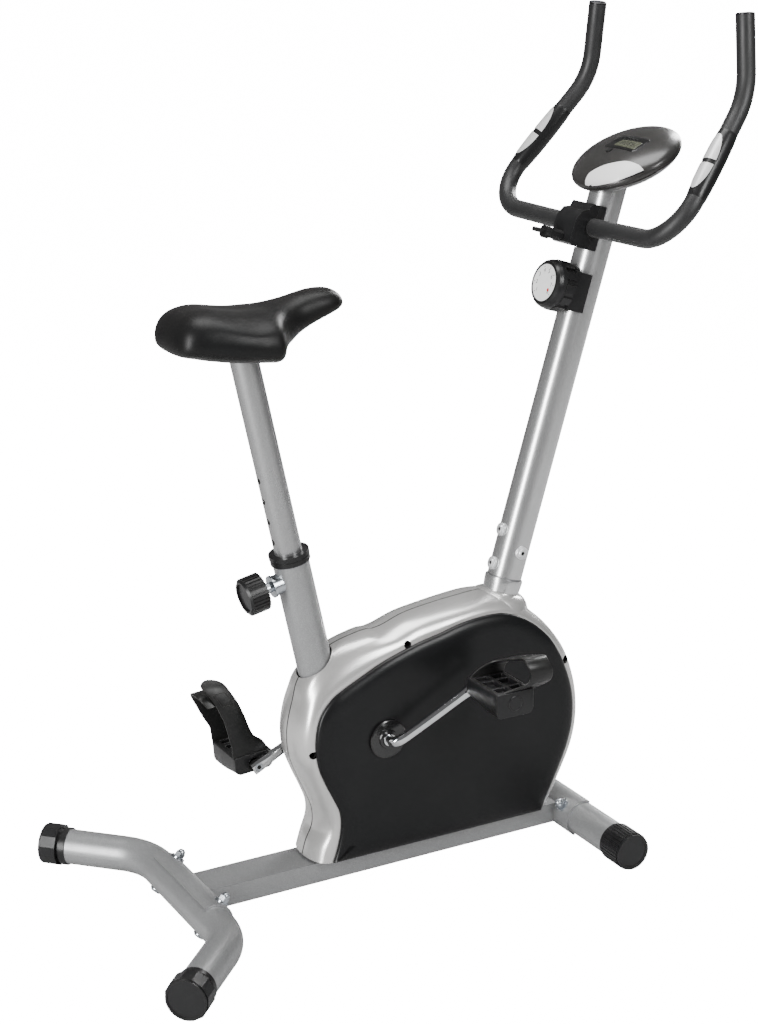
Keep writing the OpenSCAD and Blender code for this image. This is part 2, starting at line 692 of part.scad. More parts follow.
// Outline around both pulleys at a distance d
module belt_outline(d) {
    r1 = pulley_r + d;
    r2 = small_pulley_r + d;
    span = [wheel_ahead, wheel_z - crank_z];
    along = unit(span);
    out = [-along[1], along[0]];
    lift = (r1 - r2) / norm(span);
    up = along * lift + out * sqrt(1 - lift * lift);
    down = along * lift - out * sqrt(1 - lift * lift);
    sink = 0.03;
    circle(r = r1);
    translate(span) circle(r = r2);
    polygon([(r1 - sink) * up, (r1 - sink) * down, span + (r2 - sink) * down, span + (r2 - sink) * up]);
}
module drive_belt() {
    color(soft_black) in_frame() translate([0, -pulley_y - 0.5, crank_z]) rotate([90, 0, 0])
        linear_extrude(pulley_width - 1) difference() {
            belt_outline(seat_fit + 1.6);
            belt_outline(seat_fit);
        }
}
module magnet_arm() {
    color(steel) in_frame() translate(arm_pivot) rotate([0, brake_open, 0]) translate(-arm_pivot) {
        translate(wheel_at) rotate([90, 0, 0]) translate([0, 0, -brake_half]) {
            rotate([0, 0, 98]) rotate_extrude(angle = 62) translate([wheel_r + 5.5, 0]) square([5, 2 * brake_half]);
            for (a = [106, 124, 142]) rotate([0, 0, a]) rotate_extrude(angle = 12)
                translate([wheel_r + 1.5, 2]) square([4.2, 2 * brake_half - 4]);
        }
        difference() {
            translate(arm_pivot + [-12, 1 - brake_half, -12]) cube([32, 2 * brake_half - 2, 15]);
            translate(wheel_at) across(wheel_r + 7, 60);
        }
        translate(arm_pivot) across(4, 2 * (fork_in + fork_plate));
    }
}
// Coil spring between the brace and the brake arm
spring_at = [148, 0, brace_z - brace_r - 0.3];
spring_r = 4;
spring_wire = 0.7;
spring_turns = 7;
spring_height = 48;
module brake_spring() {
    steps = spring_turns * 12;
    tilt = atan(spring_height / (spring_turns * 2 * PI * spring_r));
    color(zinc) in_frame() translate([spring_at[0], 0, spring_at[2] - spring_height - spring_wire])
        loft([for (i = [0 : steps]) let (a = i * 30, out = [cos(a), sin(a), 0],
            side = [sin(a) * sin(tilt), -cos(a) * sin(tilt), cos(tilt)])
            [for (j = [0 : 5]) spring_r * out + [0, 0, spring_height * i / steps]
                + spring_wire * (cos(j * 60) * out + sin(j * 60) * side)]]);
}

// ---- Casing ----
// Centre seam and side rim of the casing, with the same stations from the rear over the top to the front
seam = [[-107, 49], [-101, 70], [-91, 92], [-91, 116], [-100, 142], [-114, 174], [-125, 206], [-127, 242], [-119, 280],
    [-106, 314], [-84, 338], [-54, 354], [-19, 363], [20, 369], [56, 381], [101, 388], [142, 392], [180, 394],
    [215, 388], [240, 373], [258, 355], [276, 339], [295, 317], [313, 290], [325, 260], [333, 227], [336, 190],
    [333, 158], [325, 129], [311, 100], [297, 72], [287, 53]];
rim = [[-83, 49], [-75, 71], [-69.5, 99], [-71, 123], [-80.5, 145], [-92.5, 170], [-103, 198], [-107, 234], [-100, 270],
    [-81.5, 294], [-60, 307], [-35, 319], [-5, 333], [26.5, 344], [58, 353], [90, 360], [123, 368], [156, 372],
    [188, 371.5], [209, 366], [231, 355.5], [253, 339], [274.5, 317], [292, 289], [305, 258], [313, 229], [315.5, 201],
    [313, 172], [305, 143], [293, 114], [280, 87], [266, 57]];
// Point of the casing, whose low front follows the front foot
function at_foot(q) = [q[0] + (q[0] > 200 ? (front_reach - 326) * max(0, 190 - q[1]) / 137 : 0), q[1]];
// Outline of the casing where the seam has turned into the rim by a share k
function casing_outline(k) = [for (q = concat(smooth([for (i = [0 : len(seam) - 1]) mix(seam[i], rim[i], k)], 2),
    [[mix(283, 256, k), 49]])) at_foot(q)];
casing_steps = [[0, 0], [0.39, 0.06], [0.7, 0.25], [0.89, 0.5], [1, 1]];
module casing_holes() {
    along_seat() translate([0, 0, 150]) cylinder(r = seat_r + seat_fit, h = 300);
    along_post() translate([0, 0, 150]) cylinder(r = stub_r + seat_fit, h = 300);
    translate([-60, -beam_width / 2 - 1, casing_low - 5]) cube([320, beam_width + 2, 9]);
}
casing_screws = [[41, 350], [305, 276], [-107, 217], [37, 56], at_foot([262, 58])];
module casing_half_shell() {
    difference() {
        union() {
            loft_round(concat([for (s = casing_steps) at_y(casing_outline(s[1]), s[0] * casing_half)],
                [for (i = [4 : -1 : 0]) let (s = casing_steps[i])
                    at_y(shrink(casing_outline(s[1]), casing_wall), s[0] * casing_half)]));
            // Neck around the stub
            intersection() {
                along_post() {
                    translate([0, 0, 350]) cylinder(r = neck_r, h = 22);
                    translate([0, 0, 330]) cylinder(r1 = neck_r + 12, r2 = neck_r, h = 20);
                }
                translate([0, 0, 300]) cube([400, casing_half, 200]);
            }
            // Screw towers, up to the outer skin
            intersection() {
                for (s = casing_screws) translate([s[0], 0, s[1]]) across_left(6.5, 0, casing_half);
                loft([for (s = casing_steps) at_y(casing_outline(s[1]), s[0] * casing_half)]);
            }
        }
        casing_holes();
    }
}
module shell_left() {
    color(shell_silver) in_frame() difference() {
        casing_half_shell();
        for (s = casing_screws) translate([s[0], 0, s[1]]) across_left(1.9, -1, 18);
    }
}
module shell_right() {
    color(shell_silver) in_frame() difference() {
        mirror([0, 1, 0]) casing_half_shell();
        for (s = casing_screws) translate([s[0], 0, s[1]]) {
            across_left(2.3, -casing_half, 1);
            across_left(4.6, -casing_half - 1, -20);
        }
    }
}
module shell_screws() {
    color(soft_black) in_frame() for (s = casing_screws) translate([s[0], 0, s[1]]) {
        across_left(1.85, -22, 16);
        difference() {
            across_left(4, -23, -20);
            across_left(1.6, -24, -21.5);
        }
    }
}
cover_steps = [[0, 0], [0.35, 0.04], [0.7, 0.28], [0.9, 0.58], [1, 1]];
module side_cover() {
    outer = casing_outline(1);
    inner = [for (s = cover_steps) [s[0] * (cover_depth - cover_wall), cover_wall + s[1] * (cover_round - 1)]];
    difference() {
        loft(concat([for (i = [4 : -1 : 0]) at_y(shrink(outer, inner[i][1]), casing_half + inner[i][0])],
            [for (s = cover_steps) at_y(shrink(outer, s[1] * cover_round), casing_half + s[0] * cover_depth)]));
        translate([0, 0, crank_z]) across_left(22, casing_half, casing_half + cover_depth + 1);
    }
}
module cover_left() {
    color(black) in_frame() side_cover();
}
module cover_right() {
    color(black) in_frame() mirror([0, 1, 0]) side_cover();
}

// ---- Crank and pedals ----
// Right crank arm's frame, with X along the arm; the left arm is half a turn round
module right_arm() {
    translate([0, 0, crank_z]) rotate([0, -crank_turn, 0]) mirror([0, 1, 0]) children();
}
module left_arm() {
    translate([0, 0, crank_z]) rotate([0, 180 - crank_turn, 0]) children();
}
module both_arms() {
    right_arm() children();
    left_arm() children();
}
module crank() {
    color(chrome) in_frame() {
        translate([0, 0, crank_z]) {
            across(spindle_r, 2 * 66);
            both_sides() across_left(shaft_shoulder, bracket_half - 8, pulley_y + pulley_width + 2);
        }
        both_arms() difference() {
            union() {
                rod([[0, 62, 0], [0, 78, 0], [crank_length - 12, eye_mid - 2, 0]], [10], 7.5);
                translate([crank_length, 0, 0]) across_left(eye_r, eye_mid - 6, eye_mid + 6);
            }
            translate([crank_length, 0, 0]) across_left(6.4, eye_mid - 10, eye_mid + 10);
        }
    }
}
module hub_discs() {
    inner = casing_half + cover_depth + 0.5;
    color(soft_black) in_frame() both_arms() translate([0, inner, 0]) rotate([-90, 0, 0])
        rotate_extrude() polygon([[spindle_r + run_fit, 0], [27, 0], [28, 1], [28, 2.6], [26.5, 3.6], [24, 3.2],
            [14, 2], [13, 4], [spindle_r + run_fit, 4]]);
}
module pedal_spindles() {
    color(zinc) in_frame() both_arms() translate([crank_length, 0, 0]) {
        across_left(6.4 - run_fit, eye_mid - 6, eye_mid + 6);
        across_left(7.5, eye_mid + 6, eye_mid + 6.7);
        across_left(pedal_pin_r, eye_mid, pedal_in + pedal_length - 16);
    }
}
// Pedal about its own axle, with the outer end towards +Y
module pedal_body() {
    h = pedal_height / 2;
    w = pedal_width / 2;
    cell = (pedal_length - 32) / 2;
    difference() {
        union() {
            difference() {
                translate([0, pedal_in + pedal_length, 0]) rotate([90, 0, 0]) linear_extrude(pedal_length)
                    polygon([[-w, 5 - h], [-w, h - 2], [-w + 2, h], [w - 2, h], [w, h - 2], [w, 5 - h],
                        [w - 2, 1.5 - h], [w - 6, -h], [6 - w, -h], [2 - w, 1.5 - h]]);
                for (x = [-1, 1]) for (i = [0, 1])
                    translate([x * (w / 2 + 2) - 6, pedal_in + 12 + i * (cell + 8), -h - 1])
                        cube([12, cell, pedal_height + 2]);
                // Underside that rises towards both ends
                translate([0, pedal_in + pedal_length / 2, -h]) for (e = [0, 1]) rotate([0, 0, 180 * e])
                    translate([-w - 1, pedal_length / 2, 0]) rotate([90, 0, 90]) linear_extrude(2 * w + 2)
                        polygon([[-24, -2], [2, -2], [2, 6.5], [0, 6], [-12, 2], [-24, 0]]);
            }
            across_left(11, pedal_in, pedal_in + pedal_length);
            across_left(10.3, pedal_in + pedal_length, pedal_in + pedal_length + 1);
        }
        across_left(pedal_pin_r + run_fit, pedal_in - 1, pedal_in + pedal_length - 15);
    }
}
left_pedal_lift = 4.6;
module on_right_pedal() {
    right_arm() translate([crank_length, 0, 0]) rotate([0, crank_turn, 0]) children();
}
module on_left_pedal() {
    left_arm() translate([crank_length, 0, 0]) rotate([0, crank_turn - 180 - left_pedal_lift, 0]) children();
}
module pedal_right() {
    color(soft_black) in_frame() on_right_pedal() pedal_body();
}
module pedal_left() {
    color(soft_black) in_frame() on_left_pedal() pedal_body();
}
// Strap that stands on a pedal's top, along points of y, height, forward offset and share of the width at its feet
module pedal_strap(points) {
    line = smooth(points, 2);
    n = len(line) - 1;
    difference() {
        loft([for (i = [0 : n])
            let (p = line[i], t = line[min(n, i + 1)] - line[max(0, i - 1)], d = unit([t[0], t[1]]) * strap_thick / 2,
                half = p[3] * strap_width / 2, y = pedal_in + p[0])
            [[p[2] - half, y - d[1], p[1] + d[0]], [p[2] + half, y - d[1], p[1] + d[0]],
                [p[2] + half, y + d[1], p[1] - d[0]], [p[2] - half, y + d[1], p[1] - d[0]]]]);
        translate([-100, pedal_in - 20, -60]) cube([200, pedal_length + 40, 60 + pedal_height / 2]);
    }
}
foot_in = 3.5;
foot_out = pedal_length - 3.5;
low_strap = [[foot_in, 8, 0, 1], [foot_in, 17, 2, 1], [5, 27, 10, 0.8], [12, 36, 23, 0.67], [28, 42, 32, 0.65],
    [48, 48, 35, 0.65], [foot_out - 9, 55, 34, 0.65], [foot_out + 4, 57, 31, 0.65], [foot_out + 12, 50, 32, 0.65],
    [foot_out + 14, 40, 35, 0.65], [foot_out + 11, 29, 34, 0.69], [foot_out + 5, 21, 26, 0.82],
    [foot_out, 15, 8, 1], [foot_out, 8, 0, 1]];
high_strap = [[foot_in, 8, -2, 1], [foot_in, 20, -4, 1], [foot_in, 32, -7, 0.87], [foot_in, 43, -14, 0.69],
    [4, 59, -22, 0.58], [6, 76, -30.5, 0.56], [9, 95, -40, 0.56], [18, 114, -49, 0.56], [36, 124, -54, 0.56],
    [foot_out - 21, 119, -52, 0.56], [foot_out - 8, 100, -44, 0.56], [foot_out - 2, 76, -34, 0.56],
    [foot_out, 55, -24, 0.6], [foot_out, 40, -14, 0.7], [foot_out, 30, -8, 0.87], [foot_out, 18, -4, 1],
    [foot_out, 8, -2, 1]];
module pedal_strap_right() {
    color(black) in_frame() on_right_pedal() pedal_strap(low_strap);
}
module pedal_strap_left() {
    color(black) in_frame() on_left_pedal() pedal_strap(high_strap);
}

// ---- Handlebar post, tension control and clamp ----
// Cylinder along a line towards the rear of the post, from n1 to n2 behind its centre
module behind_post(r, s, n1, n2) {
    translate([-n1, 0, s]) rotate([0, -90, 0]) cylinder(r = r, h = n2 - n1);
}
module at_post_bolts() {
    along_post() {
        for (s = [-25, 25]) translate([0, 0, bolts_along + s]) rotate([0, -90, 0]) children();
        for (a = [-90, 90]) translate([0, 0, bolts_along]) rotate([a, 0, 0]) children();
    }
}
bolts_along = 419;
notch_in = 11;
notch_half = 31;
module post_bolt_holes() {
    at_post_bolts() cylinder(d = post_bolt_d + 0.2, h = 60);
}
module handlebar_post() {
    color(post_silver) in_frame() difference() {
        along_post() difference() {
            translate([0, 0, post_low]) cylinder(r = post_r, h = 700);
            translate([0, 0, post_low - 1]) cylinder(r = post_r - post_wall, h = 702);
            translate([-40, -40, bar_along - notch_half - 0.3]) cube([40 - notch_in, 80, 2 * notch_half + 0.6]);
            behind_post(shaft_r + 1, knob_along, 0, 40);
        }
        along_console() translate([-200, -100, -10]) cube([400, 200, 300]);
        post_bolt_holes();
    }
}
module post_bolts() {
    color(zinc) in_frame() {
        difference() {
            at_post_bolts() translate([0, 0, post_r - 8]) cylinder(r = 8.5, h = 9.6);
            along_post() translate([0, 0, 300]) cylinder(r = post_r + run_fit, h = 300);
        }
        at_post_bolts() {
            translate([0, 0, 14]) cylinder(d = post_bolt_d, h = post_r - 11);
            translate([0, 0, post_r + 1.6]) difference() {
                cylinder(r1 = 6.8, r2 = 4.6, h = 3.6);
                translate([0, 0, 1.4]) cylinder(r = 2.6, h = 4, $fn = 6);
            }
        }
    }
}
module tension_box() {
    color(soft_black) in_frame() along_post() difference() {
        union() {
            translate([-32, -26, knob_along - 28.5]) cube([26, 52, 54.5]);
            translate([-34, -27, knob_along - 29.5]) cube([2, 54, 56.5]);
        }
        translate([0, 0, 700]) cylinder(r = post_r + run_fit, h = 200);
        behind_post(shaft_r + run_fit, knob_along, 0, 40);
    }
}
module tension_knob() {
    r = tension_knob_d / 2;
    color(soft_black) in_frame() along_post() difference() {
        union() {
            translate([-34.3, 0, knob_along]) rotate([0, -90, 0]) {
                ribbed(r, 2.6, 12, 15.7);
                translate([0, 0, 13]) rotate_extrude() polygon([[0, 0], [r - 3, 0], [r - 1.2, 3], [r - 1.6, 9],
                    [r - 3.4, 14], [r - 6, 17], [dial_d / 2 + 1, 17.7], [dial_d / 2 + 0.4, 17], [0, 17]]);
            }
            behind_post(shaft_r, knob_along, -20, 50);
            behind_post(8, knob_along, -20, -12);
        }
        difference() {
            behind_post(r - 6, knob_along, 34, 48);
            behind_post(9, knob_along, 33, 49);
        }
        behind_post(dial_d / 2 + 0.1, knob_along, 62, 70);
    }
}
module tension_dial() {
    color("#e9e9e6") in_frame() along_post() behind_post(dial_d / 2, knob_along, 62, 64.4);
}
module tension_cable() {
    color("#505356") in_frame() along_post() translate([cable_forward, 0, 251.5])
        cylinder(r = 1.2, h = knob_along - 8.3 - 251.5);
}
module bar_bore() {
    translate([-bar_behind, 0, bar_along]) across(bar_r + run_fit, 200);
}
clamp_screw = bar_along - 21.4;
module bar_cradle() {
    color(soft_black) in_frame() along_post() difference() {
        translate([0.2 - bar_behind, -clamp_half, bar_along - notch_half])
            cube([bar_behind - 0.2 - notch_in, 2 * clamp_half, 2 * notch_half]);
        bar_bore();
        behind_post(foot_bolt_d / 2 + run_fit, clamp_screw, 0, 60);
    }
}
module clamp_cover() {
    near = bar_behind + 0.2;
    color(soft_black) in_frame() along_post() difference() {
        translate([0, clamp_half, bar_along]) rotate([90, 0, 0]) linear_extrude(2 * clamp_half)
            polygon([[-near, -notch_half], [-near, notch_half], [-36, notch_half], [-39, 22], [-49, 19], [-56, 6],
                [-57, -2], [-57, 3 - notch_half], [-50, -notch_half]]);
        bar_bore();
        behind_post(foot_bolt_d / 2 + run_fit, clamp_screw, 0, 60);
    }
}
module clamp_bolt() {
    color(soft_black) in_frame() along_post() {
        behind_post(foot_bolt_d / 2, clamp_screw, 14, 60);
        translate([-57.1, 0, clamp_screw]) rotate([0, -90, 0]) cylinder(r = 7.4, h = 23, $fn = 6);
        behind_post(9, clamp_screw, 80, 88);
        behind_post(3.3, clamp_screw, 86, 105);
    }
}

// ---- Handlebar ----
function flip(p) = [p[0], -p[1], p[2]];
bar_left = [bar_middle, bar_corner, bar_elbow, bar_end];
bar_line = concat([for (i = [3 : -1 : 0]) flip(bar_left[i])], bar_left);
bar_turns = concat([for (i = [2 : -1 : 0]) bar_bends[i]], bar_bends);
module handlebar() {
    color("#3a3c3e") in_frame() difference() {
        rod(bar_line, bar_turns, bar_r);
        rod(bar_line, bar_turns, bar_r - bar_wall);
    }
}
module handlebar_grips() {
    up = unit(bar_end - bar_elbow);
    start = [bar_at[0], clamp_half + 0.5, bar_at[1]];
    color(soft_black) in_frame() both_sides() difference() {
        rod(concat([start], bar_left), bar_bends, grip_r);
        rod([start - [0, 5, 0], bar_middle, bar_corner, bar_elbow, bar_end + 5 * up], bar_bends, bar_r + run_fit);
    }
}
module bar_end_plugs() {
    up = unit(bar_end - bar_elbow);
    color(soft_black) in_frame() both_sides() multmatrix(place(side_of(up), up, bar_end)) {
        cylinder(r = grip_r, h = 2);
        translate([0, 0, 2]) cylinder(r1 = grip_r, r2 = grip_r - 1.5, h = 1.2);
        translate([0, 0, -12]) cylinder(r = bar_r - bar_wall - run_fit, h = 13);
    }
}
// Along a grip's slanted leg, with X towards the rider's palm
module on_leg() {
    u = unit(bar_elbow - bar_corner);
    f = [-0.81, 0, 0.56];
    multmatrix(place(unit(f - u * (u * f)), u, bar_corner)) children();
}
module pulse_housings() {
    h = pulse_length;
    in_r = grip_r + run_fit;
    color(soft_black) in_frame() both_sides() on_leg() translate([0, 0, pulse_start]) rotate_extrude()
        polygon([[in_r, 0], [grip_r + 0.8, 0], [pulse_r, 6], [pulse_r, h - 6], [grip_r + 0.8, h], [in_r, h]]);
}
module pulse_plates() {
    half = pulse_length / 2;
    color("#c9cccd") in_frame() both_sides() on_leg() translate([0, 0, pulse_start + half]) intersection() {
        translate([0, 0, -half]) ring(pulse_r + 0.9, pulse_r + run_fit, 2 * half);
        for (s = [-1, 1]) rotate([0, 90, 0]) linear_extrude(20) polygon(concat([for (t = [0 : 0.125 : 1])
            [s * (3 + (half - 9) * t), 11.5 * sqrt(1 - 0.94 * t * t)]], [for (t = [1 : -0.125 : 0])
            [s * (3 + (half - 9) * t), -11.5 * sqrt(1 - 0.94 * t * t)]]));
    }
}

// ---- Console ----
console_wall = 2.4;
console_split = -9;
// Oval ring of the console at a latitude, inside its skin by d
function console_ring(b, d) = [for (i = [0 : 35]) [(console_reach - d) * cos(b) * cos(i * 10),
    (console_half - d) * cos(b) * sin(i * 10), (console_thick - d) * sin(b)]];
console_up = [-9, 8, 25, 42, 59, 76];
console_down = [-80, -64, -48, -34, -21, -9];
// Latitude on the inner skin at the height of a latitude on the outer one
function inner_split() = asin(console_thick * sin(console_split) / (console_thick - console_wall));
module console_top() {
    color(black) in_frame() along_console() difference() {
        union() {
            loft(concat([for (i = [5 : -1 : 1]) console_ring(console_up[i], console_wall)],
                [console_ring(inner_split(), console_wall)], [for (b = console_up) console_ring(b, 0)]));
            translate([lens_ahead - lens_size[0] / 2 - 4, -lens_size[1] / 2 - 4, 13])
                cube([lens_size[0] + 8, lens_size[1] + 8, 5.9]);
        }
        translate([lens_ahead - lens_size[0] / 2, -lens_size[1] / 2, 17]) cube([lens_size[0], lens_size[1], 20]);
        translate([lens_ahead - lens_size[0] / 2 + 4, 5 - lens_size[1] / 2, 10]) cube([lens_size[0] - 8, lens_size[1] - 10, 20]);
        translate([button_ahead, 0, 5]) cylinder(r = 5.3, h = 30);
    }
}
button_ahead = -20;
module console_button() {
    color("#b8babb") in_frame() along_console() translate([button_ahead, 0, 13]) cylinder(r = 5, h = 13);
}
module console_base() {
    color(black) in_frame() difference() {
        along_console() {
            loft(concat([for (b = console_down) console_ring(b, 0)], [console_ring(inner_split(), console_wall)],
                [for (i = [4 : -1 : 0]) console_ring(console_down[i], console_wall)]));
            intersection() {
                union() {
                    translate([-32, 0, -10]) cylinder(r = 41, h = 3.5);
                    for (x = [-20, 30]) for (y = [-34, 34]) translate([x, y, -30]) cylinder(r = 3, h = 34);
                }
                loft([for (b = console_down) console_ring(b, 0.4)]);
            }
            for (x = [-20, 30]) for (y = [-34, 34]) translate([x, y, -8]) cylinder(r = 3, h = 12);
        }
        difference() {
            along_post() translate([0, 0, 880]) cylinder(r = post_r + seat_fit, h = 140);
            along_console() translate([-200, -100, -10]) cube([400, 200, 100]);
        }
    }
}
module console_circuit() {
    color("#8e9a86") in_frame() along_console() {
        translate([-25, -40, 4]) cube([60, 80, 1.6]);
        translate([lens_ahead - 12, -27, 5.6]) cube([24, 54, 11.1]);
    }
}
module console_lens() {
    color("#2b2d2f") in_frame() along_console()
        translate([lens_ahead - lens_size[0] / 2 + 0.3, 0.3 - lens_size[1] / 2, 17])
            cube([lens_size[0] - 0.6, lens_size[1] - 0.6, 2]);
}

base_beam();
rear_stabiliser();
front_stabiliser();
stabiliser_bolts();
rear_end_sleeves();
front_roller_axles();
seat_tube();
seat_tube_collar();
pin_boss();
front_frame();
bottom_bracket();
bearing_cups();
flywheel_bearings();
shell_right();
shell_left();
cover_right();
cover_left();
shell_screws();
drive_belt();
handlebar_post();
post_bolts();
tension_box();
tension_cable();
bar_cradle();
clamp_cover();
console_base();
console_top();
console_lens();
console_circuit();
brake_spring();
rear_cap_right();
rear_cap_left();
front_roller_right();
front_roller_left();
crank();
hub_discs();
drive_pulley();
pedal_spindles();
pedal_right();
pedal_left();
pedal_strap_right();
pedal_strap_left();
flywheel();
seat_post();
saddle_base();
saddle_cushion();
saddle_bolts();
seat_pin();
seat_knob();
tension_knob();
tension_dial();
magnet_arm();
handlebar();
handlebar_grips();
bar_end_plugs();
pulse_housings();
pulse_plates();
console_button();
clamp_bolt();
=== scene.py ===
# %% [markdown]
# # An upright exercise bike
# The steel frame, the casing and every moving part come from the CAD model, which is the fixed frame of
# this lesson. Each cell adds one thing that the real bike has and a plain CAD solid lacks: moulded edges,
# a sewn-tight vinyl saddle, a printed dial, and finishes that have grain, wear and dust. Lengths are in
# metres, X points forwards, Y to the rider's left and Z up.

# %% Load the frame
import bpy
import bmesh
import json
import math
from mathutils import Matrix, Vector


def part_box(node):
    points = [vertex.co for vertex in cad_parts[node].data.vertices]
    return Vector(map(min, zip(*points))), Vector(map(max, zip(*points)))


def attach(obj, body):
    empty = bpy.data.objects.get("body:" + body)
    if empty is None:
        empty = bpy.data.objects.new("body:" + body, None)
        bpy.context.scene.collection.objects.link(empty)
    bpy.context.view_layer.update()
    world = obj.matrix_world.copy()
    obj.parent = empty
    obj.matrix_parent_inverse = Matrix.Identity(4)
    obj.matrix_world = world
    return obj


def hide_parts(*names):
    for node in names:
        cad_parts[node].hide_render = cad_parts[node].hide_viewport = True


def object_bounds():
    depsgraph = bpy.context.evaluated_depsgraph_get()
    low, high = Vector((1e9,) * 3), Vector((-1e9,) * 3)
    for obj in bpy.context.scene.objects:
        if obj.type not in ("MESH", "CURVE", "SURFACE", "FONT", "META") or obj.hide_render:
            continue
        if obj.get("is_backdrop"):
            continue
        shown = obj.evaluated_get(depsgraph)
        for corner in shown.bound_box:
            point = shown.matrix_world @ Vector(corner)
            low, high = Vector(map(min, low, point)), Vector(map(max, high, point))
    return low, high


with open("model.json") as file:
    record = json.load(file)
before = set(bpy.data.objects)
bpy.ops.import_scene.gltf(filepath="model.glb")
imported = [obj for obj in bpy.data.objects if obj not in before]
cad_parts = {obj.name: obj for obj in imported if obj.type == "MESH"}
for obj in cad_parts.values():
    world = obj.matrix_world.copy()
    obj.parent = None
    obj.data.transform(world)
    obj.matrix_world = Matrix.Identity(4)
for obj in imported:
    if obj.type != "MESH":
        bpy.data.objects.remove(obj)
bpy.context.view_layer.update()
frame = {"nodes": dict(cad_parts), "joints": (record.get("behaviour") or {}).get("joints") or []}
joints = {j["name"]: j for j in frame["joints"]}

# %% [markdown]
# ## Where things are
# A bike maker measures from the crank axle, so this lesson does too. `at` turns millimetres ahead of the
# axle, to the left, and above the floor into the frame's own metres. The handlebar post and the saddle
# tube lean, so each has its own pair of directions: up along the tube, and straight out of its rear side.

# %% Measuring from the crank axle
MM = 0.001
CRANK = Vector(joints["crank_spin"]["pos_m"])


def at(x, y, z):
    return Vector((CRANK.x + x * MM, y * MM, z * MM))


def unit(v):
    return Vector(v).normalized()


POST_BACK = unit(joints["tension_knob_turn"]["axis"])
POST_UP = Vector((POST_BACK.z, 0, -POST_BACK.x))
SEAT_UP = unit(joints["seat_slide"]["axis"])
CONSOLE_IN = unit(joints["console_button_press"]["axis"])
CONSOLE_UP = -CONSOLE_IN
CONSOLE_FRONT = Vector((CONSOLE_UP.z, 0, -CONSOLE_UP.x))
POST_FOOT = at(115.7, 0, 45)
SEAT_FOOT = at(-20.3, 0, 45)
CONSOLE_AT = at(416, 0, 987.5)


def on_post(along, behind, side=0):
    return POST_FOOT + POST_UP * along * MM + POST_BACK * behind * MM + Vector((0, side * MM, 0))


def on_console(ahead, side, above):
    return CONSOLE_AT + CONSOLE_FRONT * ahead * MM + Vector((0, side * MM, 0)) + CONSOLE_UP * above * MM


print("post leans", round(math.degrees(math.atan2(POST_UP.x, POST_UP.z)), 2), "degrees forwards")

# %% [markdown]
# ## Camera
# The viewpoint is a standing person's, right of the saddle and a little behind it, with a long lens from
# about two and a half metres. A long lens keeps the tubes almost parallel. The camera rolls by a third of
# a degree.

# %% Camera
EYE = at(-1250.45, -2307.11, 1344.35)
LENS, SENSOR = 70.84, 36
AZIMUTH, ELEVATION, ROLL = (math.radians(a) for a in (-28.84, 17.11, -0.32))
back = Vector((math.sin(AZIMUTH) * math.cos(ELEVATION), -math.cos(AZIMUTH) * math.cos(ELEVATION),
               math.sin(ELEVATION)))
right = Vector((math.cos(AZIMUTH), math.sin(AZIMUTH), 0))
up = back.cross(right)
right, up = (right * math.cos(ROLL) + up * math.sin(ROLL), up * math.cos(ROLL) - right * math.sin(ROLL))
camera = bpy.data.objects.new("camera", bpy.data.cameras.new("camera"))
bpy.context.scene.collection.objects.link(camera)
camera.matrix_world = Matrix.Translation(EYE) @ Matrix((right, up, back)).transposed().to_4x4()
camera.data.sensor_fit = "AUTO"
camera.data.sensor_width = SENSOR
camera.data.lens = LENS
camera.data.clip_end = 200
bpy.context.scene.camera = camera
print("camera is", round((camera.location - CRANK).length, 2), "m from the crank axle")

# %% [markdown]
# ## Studio
# A product studio has a pale floor that runs far past the object on every side, so that no corner shows.
# Large soft boxes give long soft streaks on round tubes, and a bright room fills the shadows.

# %% Floor
def mesh_object(name, points, faces):
    mesh = bpy.data.meshes.new(name)
    mesh.from_pydata([tuple(p) for p in points], [], faces)
    mesh.validate()
    mesh.update()
    thing = bpy.data.objects.new(name, mesh)
    bpy.context.scene.collection.objects.link(thing)
    return thing


FLOOR = 60.0
floor = mesh_object("floor", [(-FLOOR, -FLOOR, 0), (FLOOR, -FLOOR, 0), (FLOOR, FLOOR, 0), (-FLOOR, FLOOR, 0)],
                    [(0, 1, 2, 3)])
floor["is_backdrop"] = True

# %% Lights
ROOM_LIGHT = 0.16
world = bpy.data.worlds.new("studio")
world.use_nodes = True
world.node_tree.nodes["Background"].inputs["Color"].default_value = (1.0, 1.0, 1.0, 1)
world.node_tree.nodes["Background"].inputs["Strength"].default_value = ROOM_LIGHT
bpy.context.scene.world = world


def soft_box(name, place, target, width, height, power):
    light = bpy.data.lights.new(name, "AREA")
    light.shape = "RECTANGLE"
    light.size, light.size_y, light.energy = width, height, power
    thing = bpy.data.objects.new(name, light)
    thing.location = place
    thing.rotation_euler = (Vector(target) - Vector(place)).to_track_quat("-Z", "Y").to_euler()
    bpy.context.scene.collection.objects.link(thing)
    return thing


soft_box("key_light", (0.9, -3.0, 2.3), (0, 0, 0.5), 0.7, 1.8, 85)
soft_box("side_light", (-2.8, -1.0, 1.2), (0, 0, 0.6), 0.6, 2.2, 120)
soft_box("top_light", (0.1, 0.1, 3.0), (0, 0, 0.4), 1.8, 1.2, 55)
soft_box("rim_light", (2.4, 1.4, 1.8), (0.1, 0, 0.6), 0.6, 2.0, 90)
print("four soft boxes and a pale room")

# %% [markdown]
# ## Shared surface effects
# A real finish is never one even colour. Five effects return on almost every piece of this bike: the fine
# grain of a moulded or sprayed skin, slow drifts of tone, thumb smudges that change only the gloss,
# bright wear where an edge is rubbed, and dust that settles on whatever faces up. Each is a node group,
# built once, which puts out a mask or a height, and each finish places it with its own values.

